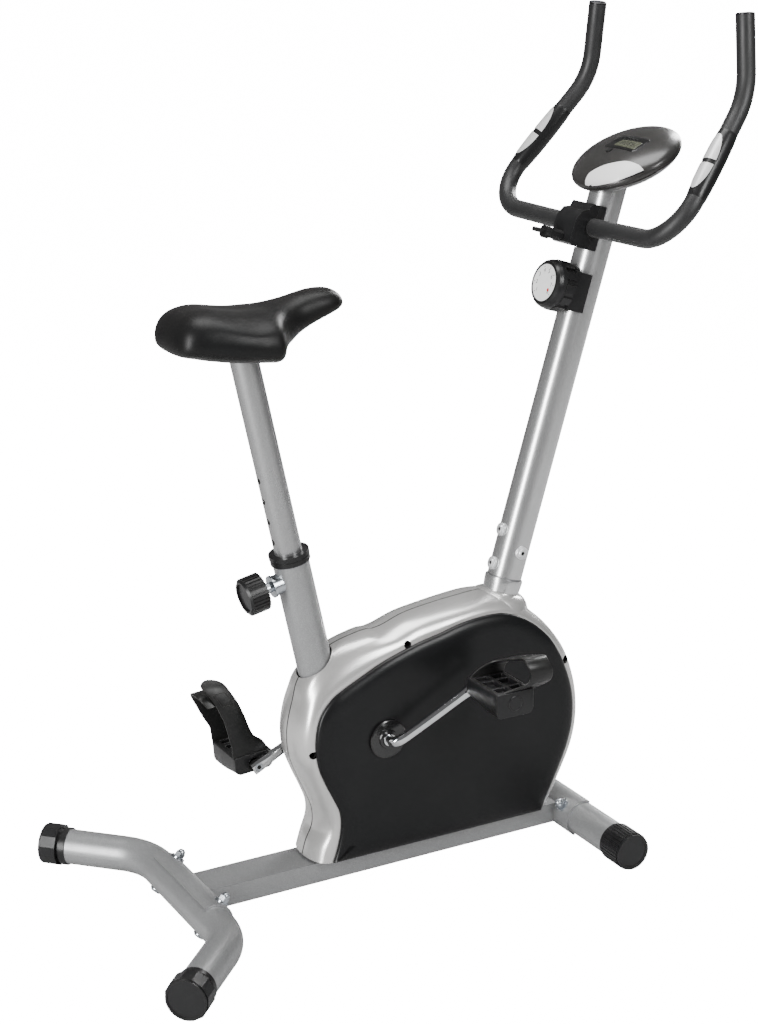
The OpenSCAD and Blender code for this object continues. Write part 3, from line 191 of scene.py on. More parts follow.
# %% Building a node group
def node_group(name, inputs, outputs):
    tree = bpy.data.node_groups.new(name, "ShaderNodeTree")
    for label, value in inputs.items():
        tree.interface.new_socket(label, in_out="INPUT", socket_type="NodeSocketFloat").default_value = value
    for label in outputs:
        tree.interface.new_socket(label, in_out="OUTPUT", socket_type="NodeSocketFloat")
    return tree, tree.nodes.new("NodeGroupInput"), tree.nodes.new("NodeGroupOutput")


def node(tree, kind, values=None, **settings):
    made = tree.nodes.new("ShaderNode" + kind)
    for key, value in settings.items():
        setattr(made, key, value)
    for key, value in (values or {}).items():
        made.inputs[key].default_value = value
    return made


def math_node(tree, operation, a, b=None, clamp=False):
    made = node(tree, "Math", operation=operation, use_clamp=clamp)
    for slot, value in ((0, a), (1, b)):
        if value is None:
            continue
        if isinstance(value, (int, float)):
            made.inputs[slot].default_value = value
        else:
            tree.links.new(value, made.inputs[slot])
    return made.outputs[0]


def ramp(tree, value, low, high):
    made = node(tree, "MapRange", interpolation_type="SMOOTHSTEP", clamp=True)
    made.inputs["From Min"].default_value, made.inputs["From Max"].default_value = low, high
    tree.links.new(value, made.inputs["Value"])
    return made.outputs["Result"]


def noise(tree, scale, detail=3.0, rough=0.5, stretch=None):
    place = node(tree, "TexCoord").outputs["Object"]
    if stretch:
        mapping = node(tree, "Mapping")
        mapping.inputs["Scale"].default_value = stretch
        tree.links.new(place, mapping.inputs["Vector"])
        place = mapping.outputs["Vector"]
    made = node(tree, "TexNoise", {"Detail": detail, "Roughness": rough})
    tree.links.new(place, made.inputs["Vector"])
    if isinstance(scale, (int, float)):
        made.inputs["Scale"].default_value = scale
    else:
        tree.links.new(scale, made.inputs["Scale"])
    return made.outputs["Fac"]


print("helpers ready")

# %% Grain, tone and smudges
grain, source, sink = node_group("grain", {"Per Metre": 1500.0, "Depth": 1.0}, ["Height"])
fine = noise(grain, source.outputs["Per Metre"], 2.0, 0.6)
grain.links.new(math_node(grain, "MULTIPLY", fine, source.outputs["Depth"]), sink.inputs["Height"])

tone, source, sink = node_group("tone", {"Per Metre": 9.0}, ["Mask"])
drift = noise(tone, source.outputs["Per Metre"], 4.0, 0.55)
tone.links.new(ramp(tone, drift, 0.32, 0.68), sink.inputs["Mask"])

smudge, source, sink = node_group("smudge", {"Per Metre": 26.0, "Low": 0.3, "High": 0.4}, ["Roughness"])
cloud = ramp(smudge, noise(smudge, source.outputs["Per Metre"], 5.0, 0.6, (1, 1.4, 0.8)), 0.35, 0.7)
spread = math_node(smudge, "SUBTRACT", source.outputs["High"], source.outputs["Low"])
gloss = math_node(smudge, "ADD", math_node(smudge, "MULTIPLY", cloud, spread), source.outputs["Low"])
smudge.links.new(gloss, sink.inputs["Roughness"])
print("three groups")

# %% Edge wear
# A bevelled normal differs from the true one only near an edge, so their dot product finds the edges.
edge_wear, source, sink = node_group("edge_wear", {"Reach": 0.001, "Per Metre": 240.0, "Amount": 1.0},
                                     ["Mask"])
bevel = node(edge_wear, "Bevel", samples=4)
edge_wear.links.new(source.outputs["Reach"], bevel.inputs["Radius"])
dot = node(edge_wear, "VectorMath", operation="DOT_PRODUCT")
edge_wear.links.new(bevel.outputs["Normal"], dot.inputs[0])
edge_wear.links.new(node(edge_wear, "NewGeometry").outputs["Normal"], dot.inputs[1])
edge = ramp(edge_wear, math_node(edge_wear, "SUBTRACT", 1.0, dot.outputs["Value"]), 0.02, 0.22)
broken = ramp(edge_wear, noise(edge_wear, source.outputs["Per Metre"], 4.0, 0.65), 0.42, 0.62)
worn = math_node(edge_wear, "MULTIPLY", math_node(edge_wear, "MULTIPLY", edge, broken),
                 source.outputs["Amount"])
edge_wear.links.new(worn, sink.inputs["Mask"])

# %% Dust
dust, source, sink = node_group("dust", {"Per Metre": 60.0, "Amount": 0.2}, ["Mask"])
facing = node(dust, "SeparateXYZ")
dust.links.new(node(dust, "NewGeometry").outputs["Normal"], facing.inputs[0])
level = ramp(dust, facing.outputs["Z"], 0.35, 1.0)
patch = ramp(dust, noise(dust, source.outputs["Per Metre"], 6.0, 0.7), 0.38, 0.72)
settled = math_node(dust, "MULTIPLY", math_node(dust, "MULTIPLY", level, patch), source.outputs["Amount"])
dust.links.new(settled, sink.inputs["Mask"])

# %% Metal flake and pebbled vinyl
flake, source, sink = node_group("flake", {"Per Metre": 2600.0}, ["Sparkle"])
cells = node(flake, "TexVoronoi", feature="F1")
flake.links.new(node(flake, "TexCoord").outputs["Object"], cells.inputs["Vector"])
flake.links.new(source.outputs["Per Metre"], cells.inputs["Scale"])
bits = node(flake, "SeparateXYZ")
flake.links.new(cells.outputs["Color"], bits.inputs[0])
flake.links.new(bits.outputs["X"], sink.inputs["Sparkle"])

pebble, source, sink = node_group("pebble", {"Per Metre": 900.0, "Depth": 1.0}, ["Height", "Valley Shade"])
warp = node(pebble, "TexVoronoi", feature="SMOOTH_F1")
warp.inputs["Smoothness"].default_value = 0.35
pebble.links.new(node(pebble, "TexCoord").outputs["Object"], warp.inputs["Vector"])
pebble.links.new(source.outputs["Per Metre"], warp.inputs["Scale"])
mound = ramp(pebble, warp.outputs["Distance"], 0.65, 0.1)
folds = noise(pebble, 170.0, 3.0, 0.6)
height = math_node(pebble, "ADD", mound, math_node(pebble, "MULTIPLY", folds, 0.8))
pebble.links.new(math_node(pebble, "MULTIPLY", height, source.outputs["Depth"]), sink.inputs["Height"])
# The low places between the mounds come out as a mask, which the vinyl finish uses for painted shade.
pebble.links.new(math_node(pebble, "SUBTRACT", 1.0, mound), sink.inputs["Valley Shade"])
print("groups:", [g.name for g in bpy.data.node_groups])

# %% [markdown]
# ## Finishes
# `finish` builds one material from the shared effects. The even numbers, such as clear coat or sheen, are
# set on the shader's own sockets. Colour, gloss and bump come from the groups, so that they change over
# the surface.

# %% Building a finish
def finish(name, base, second, rough, metallic=0.0, grain_of=(1500.0, 0.00002), worn=None, dusty=0.0,
           tone_of=9.0, sparkle=0.0, pebbled=None, smudges=26.0, **even):
    material = bpy.data.materials.new(name)
    material.use_nodes = True
    tree = material.node_tree
    shader = tree.nodes["Principled BSDF"]
    shader.inputs["Metallic"].default_value = metallic
    for label, value in even.items():
        shader.inputs[label.replace("_", " ").title().replace("Ior", "IOR")].default_value = value

    def place(kind, **values):
        made = tree.nodes.new("ShaderNodeGroup")
        made.node_tree = bpy.data.node_groups[kind]
        for label, value in values.items():
            made.inputs[label.replace("_", " ").title()].default_value = value
        return made

    def blend(below, above, mask):
        mixer = node(tree, "Mix", data_type="RGBA")
        for slot, value in ((6, below), (7, above)):
            if isinstance(value, tuple):
                mixer.inputs[slot].default_value = (*value, 1)
            else:
                tree.links.new(value, mixer.inputs[slot])
        tree.links.new(mask, mixer.inputs[0])
        return mixer.outputs[2]

    colour = blend(base, second, place("tone", per_metre=tone_of).outputs[0])
    if sparkle:
        bits = place("flake").outputs[0]
        bright = tuple(min(1.0, c * (1 + sparkle) + 0.02) for c in base)
        colour = blend(colour, bright, math_node(tree, "POWER", bits, 3.0))
    if pebbled:
        skin = place("pebble", per_metre=pebbled[0], depth=1.0)
        # Painted shade: the vinyl's colour is darkened in the low places of its grain.
        valley_shade = math_node(tree, "MULTIPLY", skin.outputs[1], 0.6)
        colour = blend(colour, tuple(c * 0.55 for c in base), valley_shade)
    if dusty:
        colour = blend(colour, (0.42, 0.41, 0.39), place("dust", amount=dusty).outputs[0])
    if worn:
        mask = place("edge_wear", reach=worn[1], amount=worn[2]).outputs[0]
        colour = blend(colour, worn[0], mask)
    tree.links.new(colour, shader.inputs["Base Color"])
    tree.links.new(place("smudge", per_metre=smudges, low=rough[0], high=rough[1]).outputs[0],
                   shader.inputs["Roughness"])
    bump = node(tree, "Bump", {"Strength": 1.0, "Distance": 1.0})
    if pebbled:
        tree.links.new(math_node(tree, "MULTIPLY", skin.outputs[0], pebbled[1]), bump.inputs["Height"])
    else:
        tree.links.new(place("grain", per_metre=grain_of[0], depth=grain_of[1]).outputs[0],
                       bump.inputs["Height"])
    tree.links.new(bump.outputs[0], shader.inputs["Normal"])
    return material


# %% The finishes of the bike
BARE = (0.5, 0.5, 0.5)
DARK = (0.009, 0.009, 0.0095)
studio_paper = finish("studio_paper", (0.5, 0.5, 0.5), (0.48, 0.48, 0.48), (0.85, 0.95), tone_of=1.5)
frame_paint = finish("frame_paint", (0.3, 0.304, 0.308), (0.28, 0.284, 0.288), (0.37, 0.41), metallic=0.55,
                     grain_of=(900.0, 0.00001), worn=((0.34, 0.34, 0.35), 0.0008, 0.5), dusty=0.03,
                     sparkle=0.5, coat_weight=0.15)
post_paint = finish("post_paint", (0.6, 0.602, 0.605), (0.58, 0.582, 0.585), (0.24, 0.27), metallic=0.85,
                    grain_of=(900.0, 0.00001), worn=(BARE, 0.0008, 0.4), sparkle=0.3, coat_weight=0.2)
saddle_post_paint = finish("saddle_post_paint", (0.4, 0.403, 0.406), (0.38, 0.383, 0.386), (0.27, 0.31),
                           metallic=0.85, grain_of=(900.0, 0.00001), worn=(BARE, 0.0008, 0.4), sparkle=0.3)
casing_plastic = finish("casing_plastic", (0.68, 0.672, 0.66), (0.66, 0.652, 0.64), (0.24, 0.27),
                        metallic=0.65, grain_of=(1100.0, 0.000006), dusty=0.01, coat_weight=0.15)
cover_plastic = finish("cover_plastic", (0.006, 0.006, 0.0065), (0.008, 0.008, 0.0085), (0.3, 0.34),
                       grain_of=(900.0, 0.00001), dusty=0.005, smudges=8.0, specular_ior_level=0.25)
trim_plastic = finish("trim_plastic", DARK, (0.013, 0.013, 0.0135), (0.28, 0.36), grain_of=(1900.0, 0.00003),
                      specular_ior_level=0.35, worn=((0.06, 0.06, 0.06), 0.0007, 0.6), dusty=0.03)
gloss_trim = finish("gloss_trim", (0.006, 0.006, 0.0065), (0.009, 0.009, 0.009), (0.16, 0.26),
                    grain_of=(900.0, 0.00001), coat_weight=0.4)
zinc_plate = finish("zinc_plate", (0.6, 0.64, 0.68), (0.55, 0.58, 0.62), (0.2, 0.28), metallic=1.0,
                    grain_of=(1200.0, 0.00003), tone_of=60.0, worn=((0.75, 0.76, 0.78), 0.0006, 0.5))
chrome_plate = finish("chrome_plate", (0.78, 0.79, 0.8), (0.72, 0.73, 0.74), (0.05, 0.12), metallic=1.0,
                      grain_of=(300.0, 0.00001), tone_of=30.0)
bar_paint = finish("bar_paint", (0.01, 0.01, 0.011), (0.014, 0.014, 0.015), (0.3, 0.4),
                   grain_of=(900.0, 0.00002), worn=((0.2, 0.2, 0.2), 0.0007, 0.4))
grip_skin = finish("grip_skin", (0.009, 0.009, 0.0095), (0.013, 0.013, 0.0135), (0.4, 0.52),
                   grain_of=(2400.0, 0.00009), dusty=0.02, sheen_weight=0.08, sheen_roughness=0.5)
vinyl = finish("vinyl", (0.008, 0.008, 0.0085), (0.01, 0.0095, 0.009), (0.36, 0.42),
               pebbled=(1100.0, 0.00003), dusty=0.01, specular_ior_level=0.2, sheen_weight=0.03,
               sheen_roughness=0.4, sheen_tint=(0.9, 0.85, 0.82, 1))
rubber = finish("rubber", (0.009, 0.009, 0.009), (0.014, 0.014, 0.0135), (0.5, 0.65),
                grain_of=(1300.0, 0.00008), dusty=0.05, worn=((0.07, 0.07, 0.07), 0.0008, 0.6))
turned_iron = finish("turned_iron", (0.22, 0.22, 0.23), (0.15, 0.15, 0.16), (0.35, 0.5), metallic=1.0,
                     grain_of=(800.0, 0.00005), tone_of=40.0)
dial_face = finish("dial_face", (0.95, 0.95, 0.94), (0.92, 0.92, 0.91), (0.3, 0.4),
                   grain_of=(1500.0, 0.00002))
contact_steel = finish("contact_steel", (0.8, 0.8, 0.8), (0.76, 0.76, 0.76), (0.3, 0.36), metallic=0.35,
                       grain_of=(1600.0, 0.000006), tone_of=30.0)
bright_zinc = finish("bright_zinc", (0.86, 0.87, 0.88), (0.8, 0.81, 0.82), (0.26, 0.32), metallic=0.5,
                     grain_of=(1200.0, 0.000008), tone_of=60.0)
# Near-black for painted shade: it lines recesses, fills the casing joint and sits in hex holes, where only
# shade makes them dark.
shadow_black = finish("shadow_black", (0.004, 0.004, 0.004), (0.006, 0.006, 0.006), (0.7, 0.9))
console_plastic = finish("console_plastic", (0.02, 0.019, 0.018), (0.023, 0.022, 0.021), (0.28, 0.33),
                         grain_of=(1500.0, 0.00001), sparkle=0.3, dusty=0.02, smudges=6.0, coat_weight=0.35,
                         coat_roughness=0.2)
display_face = finish("display_face", (0.085, 0.09, 0.06), (0.075, 0.08, 0.055), (0.25, 0.35),
                      grain_of=(900.0, 0.00001), coat_weight=0.6, coat_roughness=0.08)
white_plastic = finish("white_plastic", (0.93, 0.93, 0.92), (0.9, 0.9, 0.89), (0.28, 0.38),
                       grain_of=(1500.0, 0.00002), coat_weight=0.2)
strap_rubber = finish("strap_rubber", (0.008, 0.008, 0.008), (0.012, 0.012, 0.0115), (0.3, 0.45),
                      grain_of=(900.0, 0.00003), specular_ior_level=0.35,
                      worn=((0.08, 0.075, 0.07), 0.0009, 0.8), dusty=0.03)
print_grey = finish("print_grey", (0.05, 0.05, 0.055), (0.07, 0.07, 0.075), (0.4, 0.5))
print_red = finish("print_red", (0.55, 0.02, 0.02), (0.48, 0.02, 0.02), (0.35, 0.45))
PAPER_GLOW = 16.0
# A studio overexposes its white paper, and not the object: only the camera sees this glow.
glow = studio_paper.node_tree.nodes["Principled BSDF"]
glow.inputs["Emission Color"].default_value = (1, 1, 1, 1)
seen = node(studio_paper.node_tree, "LightPath").outputs["Is Camera Ray"]
studio_paper.node_tree.links.new(math_node(studio_paper.node_tree, "MULTIPLY", seen, PAPER_GLOW),
                                 glow.inputs["Emission Strength"])
floor.data.materials.append(studio_paper)
print(len(bpy.data.materials), "materials")

# %% [markdown]
# ## Finishing the CAD pieces
# Most of the bike is steel tube, turned bolts and moulded plastic whose shape is already right. Those
# pieces keep their CAD shape and only get the finish of the real thing, through their own material slots.

# %% Which piece has which finish
FINISH_OF = {
    frame_paint: ["base_beam", "rear_stabiliser", "front_stabiliser", "seat_tube", "front_frame",
                  "bottom_bracket"],
    post_paint: ["handlebar_post"],
    saddle_post_paint: ["seat_post"],
    casing_plastic: ["shell_right", "shell_left"],
    cover_plastic: ["cover_right", "cover_left"],
    gloss_trim: ["hub_discs", "console_lens", "console_top", "console_base"],
    trim_plastic: ["console_button", "rear_end_sleeves", "front_roller_axles", "seat_tube_collar",
                   "tension_box", "bar_cradle", "clamp_cover", "rear_cap_right", "rear_cap_left",
                   "front_roller_right", "front_roller_left", "drive_pulley", "pedal_right", "pedal_left",
                   "saddle_base", "seat_knob", "tension_knob", "bar_end_plugs", "pulse_housings",
                   "clamp_bolt", "shell_screws"],
    zinc_plate: ["stabiliser_bolts", "pin_boss", "bearing_cups", "flywheel_bearings", "post_bolts",
                 "tension_cable", "brake_spring", "pedal_spindles", "saddle_bolts", "seat_pin", "magnet_arm"],
    chrome_plate: ["crank"],
    bar_paint: ["handlebar"],
    grip_skin: ["handlebar_grips"],
    vinyl: ["saddle_cushion"],
    rubber: ["pedal_strap_right", "pedal_strap_left", "drive_belt"],
    turned_iron: ["flywheel"],
    dial_face: ["tension_dial"],
    contact_steel: ["pulse_plates"],
}
for material, names in FINISH_OF.items():
    for name in names:
        slots = frame["nodes"][name].material_slots
        for i in range(len(slots)):
            slots[i].material = material
print(sum(len(n) for n in FINISH_OF.values()), "CAD pieces finished")

# %% [markdown]
# ## Shaping tools
# Most moulded parts here are lofts: rings of points joined one after another. A ring can be a casing's
# outline, a slice of the saddle or a turn of a lathe. `loft` makes the closed skin, and `cut` drills it
# as a tool would.

# %% Lofts, lathes and cuts
def curve_through(points, steps):
    """Smooth line through the points, the same kind of curve that the CAD model uses."""
    points = [Vector(p) for p in points]
    last = len(points) - 1
    line = []
    for i in range(last):
        a, b, c, d = points[max(0, i - 1)], points[i], points[i + 1], points[min(last, i + 2)]
        for k in range(steps):
            t = k / steps
            line.append(0.5 * (2 * b + (c - a) * t + (2 * a - 5 * b + 4 * c - d) * t * t
                               + (3 * b - a - 3 * c + d) * t ** 3))
    return line + [points[last]]


def loft(name, rings, turns=False, ends=True):
    """Skin over closed rings of points. With turns, the last ring joins the first."""
    size = len(rings[0])
    points = [p for ring in rings for p in ring]
    faces = []
    for i in range(len(rings) if turns else len(rings) - 1):
        first, second = i * size, (i + 1) % len(rings) * size
        for j in range(size):
            k = (j + 1) % size
            faces.append((first + j, first + k, second + k, second + j))
    if ends and not turns:
        faces.append(tuple(reversed(range(size))))
        faces.append(tuple(range(len(points) - size, len(points))))
    thing = mesh_object(name, points, faces)
    tidy = bmesh.new()
    tidy.from_mesh(thing.data)
    bmesh.ops.recalc_face_normals(tidy, faces=tidy.faces)
    tidy.to_mesh(thing.data)
    tidy.free()
    return thing


def lathe(name, profile, centre, axis, steps=64, ends=True):
    """Turned solid: profile lists radius and distance along the axis, in millimetres."""
    axis = unit(axis)
    side = unit(axis.cross(Vector((0, 0, 1)) if abs(axis.z) < 0.9 else Vector((1, 0, 0))))
    other = axis.cross(side)
    turn = [2 * math.pi * i / steps for i in range(steps)]
    return loft(name, [[centre + axis * d * MM + (side * math.cos(a) + other * math.sin(a)) * r * MM
                        for a in turn] for r, d in profile], ends=ends)


def shade(thing, angle=32.0):
    thing.data.polygons.foreach_set("use_smooth", [True] * len(thing.data.polygons))
    thing.data.set_sharp_from_angle(angle=math.radians(angle))
    thing.data.update()
    return thing


def modify(thing, kind, **settings):
    """Adds a modifier and applies it at once."""
    step = thing.modifiers.new(kind.lower(), kind)
    for key, value in settings.items():
        setattr(step, key, value)
    ready = bpy.data.meshes.new_from_object(thing.evaluated_get(bpy.context.evaluated_depsgraph_get()))
    thing.modifiers.clear()
    thing.data = ready
    return thing


def cut(thing, tool):
    modify(thing, "BOOLEAN", operation="DIFFERENCE", solver="EXACT", object=tool)
    bpy.data.objects.remove(tool)
    return thing


def dress(thing, material, body, slot, *nodes):
    """Gives a finished piece its material and its body, and hides the CAD nodes that it stands for."""
    thing.data.materials.clear()
    thing.data.materials.append(material)
    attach(thing, body)
    if nodes:
        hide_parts(*nodes)
    return thing


def smooth_copy(node_name, body, slot, material, angle, edge):
    """Copy of a CAD piece whose facets are shaded as the one smooth face that they stand for."""
    thing = bpy.data.objects.new(node_name + "_smooth", frame["nodes"][node_name].data.copy())
    bpy.context.scene.collection.objects.link(thing)
    join = bmesh.new()
    join.from_mesh(thing.data)
    bmesh.ops.remove_doubles(join, verts=join.verts, dist=0.00001)
    bmesh.ops.dissolve_limit(join, angle_limit=0.005, verts=join.verts, edges=join.edges)
    join.to_mesh(thing.data)
    join.free()
    modify(thing, "BEVEL", width=edge, segments=2, limit_method="ANGLE", angle_limit=math.radians(angle))
    shade(thing, angle)
    return dress(thing, material, body, slot, node_name)


print("shaping tools ready")

# %% [markdown]
# ## Casing
# Two silver half shells meet at the bike's middle, where a thin near-black strip, nearly flush, marks the
# joint as painted shade: it stands for the shadow in the gap. Seen from above the casing is a flat barrel:
# its outline shrinks from the seam to the rim along a rounded curve. A pad rises round the seat tube, and a
# neck flares up to the handlebar post's stub.

# %% Outlines of the casing
SEAM = [(-107, 49), (-101, 70), (-91, 92), (-91, 116), (-100, 142), (-114, 174), (-125, 206), (-127, 242),
        (-119, 280), (-106, 314), (-84, 338), (-54, 354), (-19, 363), (20, 369), (56, 381), (101, 388),
        (142, 392), (180, 394), (215, 388), (240, 373), (258, 355), (276, 339), (295, 317), (313, 290),
        (325, 260), (333, 227), (336, 190), (333, 158), (325, 129), (311, 100), (297, 72), (287, 53)]
RIM = [(-83, 49), (-75, 71), (-69.5, 99), (-71, 123), (-80.5, 145), (-92.5, 170), (-103, 198), (-107, 234),
       (-100, 270), (-81.5, 294), (-60, 307), (-35, 319), (-5, 333), (26.5, 344), (58, 353), (90, 360),
       (123, 368), (156, 372), (188, 371.5), (209, 366), (231, 355.5), (253, 339), (274.5, 317),
       (292, 289), (305, 258),
       (313, 229), (315.5, 201), (313, 172), (305, 143), (293, 114), (280, 87), (266, 57)]
CASING_HALF = 46.0
CASING_FOOT = 49.0
CASING_WALL = 2.6
CASING_CURVE = 0.87
PAD_HIGH = 2.5


def casing_line(share):
    """Outline where the seam has turned into the rim by a share, closed along the bottom."""
    line = curve_through([Vector(a).lerp(Vector(b), share) for a, b in zip(SEAM, RIM)], 6)
    return line + [Vector((283, CASING_FOOT)).lerp(Vector((256, CASING_FOOT)), share)]


def inset(line, depth):
    """Outline moved towards its own inside, with its corners kept."""
    size = len(line)
    moved = []
    for i, p in enumerate(line):
        before, after = (p - line[i - 1]).normalized(), (line[(i + 1) % size] - p).normalized()
        corner = Vector((before.y, -before.x)) + Vector((after.y, -after.x))
        moved.append(p + corner * (2 * depth / max(1.0, corner.length_squared)))
    return moved


def ease(value, low, high):
    t = min(1.0, max(0.0, (value - low) / (high - low)))
    return t * t * (3 - 2 * t)


def pad_rise(p, y):
    """Height of the pad round the seat tube, which ends in a short step in front of the tube."""
    along = ease(p.y, 284, 312) * (1 - ease(p.x, -1, 4))
    return PAD_HIGH * along * (1 - ease(abs(y), 24, 36)) if p.y > 280 and p.x < 6 else 0.0


def casing_ring(share, y, depth, side):
    line = casing_line(share)
    ring = []
    for flat, high in zip(inset(line, depth), inset(line, depth - PAD_HIGH)):
        p = flat.lerp(high, pad_rise(flat, y) / PAD_HIGH)
        ring.append(at(p.x, side * y, max(p.y, CASING_FOOT)))
    return ring


# %% The two half shells
SEAM_HALF = 1.25
CASING_STEPS = 14
DRILL_FROM, DRILL_TO = 150, 460


def drill(radius, foot, up):
    """Long round tool that runs along a leaning tube."""
    return lathe("drill", [(radius, DRILL_FROM), (radius, DRILL_TO)], foot, up)


def half_shell(name, side):
    rings = [(0.0, SEAM_HALF, 2.4), (0.0, SEAM_HALF, 0.0)]
    for i in range(1, CASING_STEPS + 1):
        turn = math.radians(90 * i / CASING_STEPS)
        rings.append((1 - math.cos(turn), max(2.0, CASING_HALF * math.sin(turn) ** CASING_CURVE), 0.0))
    for i in range(CASING_STEPS, -1, -2):
        turn = math.radians(90 * i / CASING_STEPS)
        inner = CASING_HALF * math.sin(turn) ** CASING_CURVE - 0.01
        rings.append((1 - math.cos(turn), max(SEAM_HALF, inner), CASING_WALL))
    shell = loft(name, [casing_ring(share, y, depth, side) for share, y, depth in rings], turns=True)
    cut(shell, drill(27.3, SEAT_FOOT, SEAT_UP))
    cut(shell, drill(25.3, POST_FOOT, POST_UP))
    return shell


SHELL_SCREWS = [(39, 351), (303, 278), (-109, 217), (37, 56), (262, 58)]
RECESS = 5.6
for side, label in ((-1, "right"), (1, "left")):
    shell = half_shell("casing_half_" + label, side)
    if side < 0:
        for x, z in SHELL_SCREWS:
            cut(shell, lathe("drill", [(RECESS, -60), (RECESS, -24)], at(x, 0, z), (0, 1, 0), 40))
            # Painted shade: a near-black lining fills each screw recess, where the silver wall would be dark
            # only from shade.
            hole = lathe("screw_recess_shade", [(RECESS - 0.05, -42), (RECESS - 0.05, -24), (0.5, -24)],
                         at(x, 0, z), (0, 1, 0), 40, ends=False)
            hole.name = "screw_recess_%d" % SHELL_SCREWS.index((x, z))
            modify(hole, "SOLIDIFY", thickness=0.0004, offset=-1)
            dress(shade(hole), shadow_black, "frame", "trim_black")
    dress(shade(shell, 26), casing_plastic, "frame", "casing_silver", "shell_" + label)
# Painted shade: a near-black strip fills the groove between the halves, where the joint is dark only from
# shade.
seam = loft("casing_seam_shade", [casing_ring(0.0, y, depth, 1) for y, depth in
                            ((-1.28, 2.2), (-1.28, 0.1), (1.28, 0.1), (1.28, 2.2))], turns=True)
cut(seam, drill(26.3, SEAT_FOOT, SEAT_UP))
dress(shade(seam), shadow_black, "frame", "trim_black")
print("half shells done")

# %% The neck round the handlebar post's stub
NECK = [(25.5, 357), (27, 357), (31, 356), (36, 353), (40.5, 348), (44, 341.5), (46.5, 334), (48.5, 325),
        (50, 315), (50, 302), (25.5, 302)]
for side, label in ((-1, "right"), (1, "left")):
    rings = []
    for i in range(33):
        turn = math.radians(0.7 + 178.6 * i / 32)
        out = (POST_BACK * math.cos(turn) + Vector((0, side * math.sin(turn), 0)))
        rings.append([POST_FOOT + POST_UP * d * MM + out * r * MM for r, d in NECK])
    neck = loft("casing_neck_" + label, rings)
    dress(shade(neck, 40), casing_plastic, "frame", "casing_silver")
collar = lathe("post_collar", [(24.6, 350), (25.6, 350), (26.2, 358), (27.3, 369), (27.5, 374), (27, 376.6),
                               (24.6, 376.6)], POST_FOOT, POST_UP, 72)
dress(shade(collar), post_paint, "frame", "post_silver")
for along, behind, side, axis in ((394, 27, 0, POST_BACK), (444, 27, 0, POST_BACK), (419, 0, 27, (0, 1, 0)),
                                  (419, 0, -27, (0, -1, 0))):
    name = "post_bolt_%d_%d" % (along, side + 50)
    bolt = lathe(name, [(3, -3), (9.4, -2.2), (9.6, 0.9), (9.1, 1.5), (6.4, 1.1), (6, 2.4), (5, 3.3),
                        (3.4, 3.5), (3.2, 1.9), (0.2, 1.9)], on_post(along, behind, side), axis, 48)
    dress(shade(bolt), bright_zinc, "frame", "zinc", "post_bolts")
    # Painted shade: a near-black hexagon at the bottom of the head's recess stands for the shade in the hex
    # hole.
    socket = lathe(name + "_socket", [(3.1, 1.92), (3.1, 2.1)], on_post(along, behind, side), axis, 6)
    dress(socket, shadow_black, "frame", "zinc")
print("neck and bolts done")

# %% [markdown]
# ## Side covers
# A black cover closes each side. It starts a hair inside the silver rim, which leaves the thin dark line
# that such snapped-in covers show, and rolls over its own edge before it runs flat.

# %% The two covers
COVER_INNER = CASING_HALF + 0.3    # clear of the pulley and the flywheel, which turn just inside
COVER_DEPTH = 11.0
COVER_ROUND = 24.0
COVER_STEPS = 16


def cover_ring(line, depth):
    """Outline of the cover drawn in by depth, and kept as far above its bottom edge."""
    return [Vector((p.x, max(p.y, CASING_FOOT + max(1.0, depth)))) for p in inset(line, depth)]


for side, label in ((-1, "right"), (1, "left")):
    rim = casing_line(1.0)[:-1]
    rim[-1] = Vector((262.5, CASING_FOOT))
    rings = [(COVER_INNER, cover_ring(rim, 2.0)), (46.5, cover_ring(rim, 0.9))]
    for i in range(COVER_STEPS + 1):
        turn = math.radians(90 * i / COVER_STEPS)
        rings.append((46.7 + (COVER_DEPTH - 0.9) * math.sin(turn) ** 0.85,
                      cover_ring(rim, 0.4 + (COVER_ROUND - 0.4) * (1 - math.cos(turn)))))
    cover = loft("side_cover_" + label, [[at(p.x, side * y, p.y) for p in line] for y, line in rings])
    cut(cover, lathe("drill", [(22, 40), (22, 60)], CRANK, (0, side, 0), 64))
    dress(shade(cover, 30), cover_plastic, "frame", "cover_black", "cover_" + label)
print("covers done")

# %% [markdown]
# ## Saddle
# The saddle is vinyl pulled tight over foam on a plastic pan. Each station below is a slice across it:
# how far along, how wide, and how high its top and its lower edge are. The vinyl is folded under the
# edge, which leaves a thin dark rim, and a soft dent shows where the foam is thinner behind the nose. The
# cloth simulation only tightens the skin, by a millimetre or so, because its form is already modelled.

# %% Slices of the saddle
SADDLE_HALF = 79.0
SADDLE_LENGTH = 251.0
SADDLE = [(0, 0.37, 22, 7), (0.012, 0.53, 34, 2), (0.04, 0.67, 45, -1), (0.095, 0.77, 53, -3.5),
          (0.185, 0.845, 56, -8), (0.29, 0.925, 51.5, -12), (0.395, 0.97, 47.5, -14.5),
          (0.48, 0.99, 47, -17.5), (0.53, 0.96, 47, -19), (0.575, 0.74, 49.5, -12), (0.615, 0.58, 52, -4.5),
          (0.66, 0.49, 54.5, 2),
          (0.71, 0.415, 57.5, 10), (0.78, 0.385, 61.5, 19), (0.85, 0.37, 64, 26), (0.92, 0.345, 63.5, 32.5),
          (0.965, 0.275, 58, 36.5), (0.99, 0.17, 51, 39), (1, 0.08, 45, 40.5)]
saddle_low, saddle_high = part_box("saddle_cushion")
saddle_rear = saddle_low.x
plate_top = saddle_high.z - 64.0 * MM


def bulge(value, power):
    return math.copysign(abs(value) ** power, value)


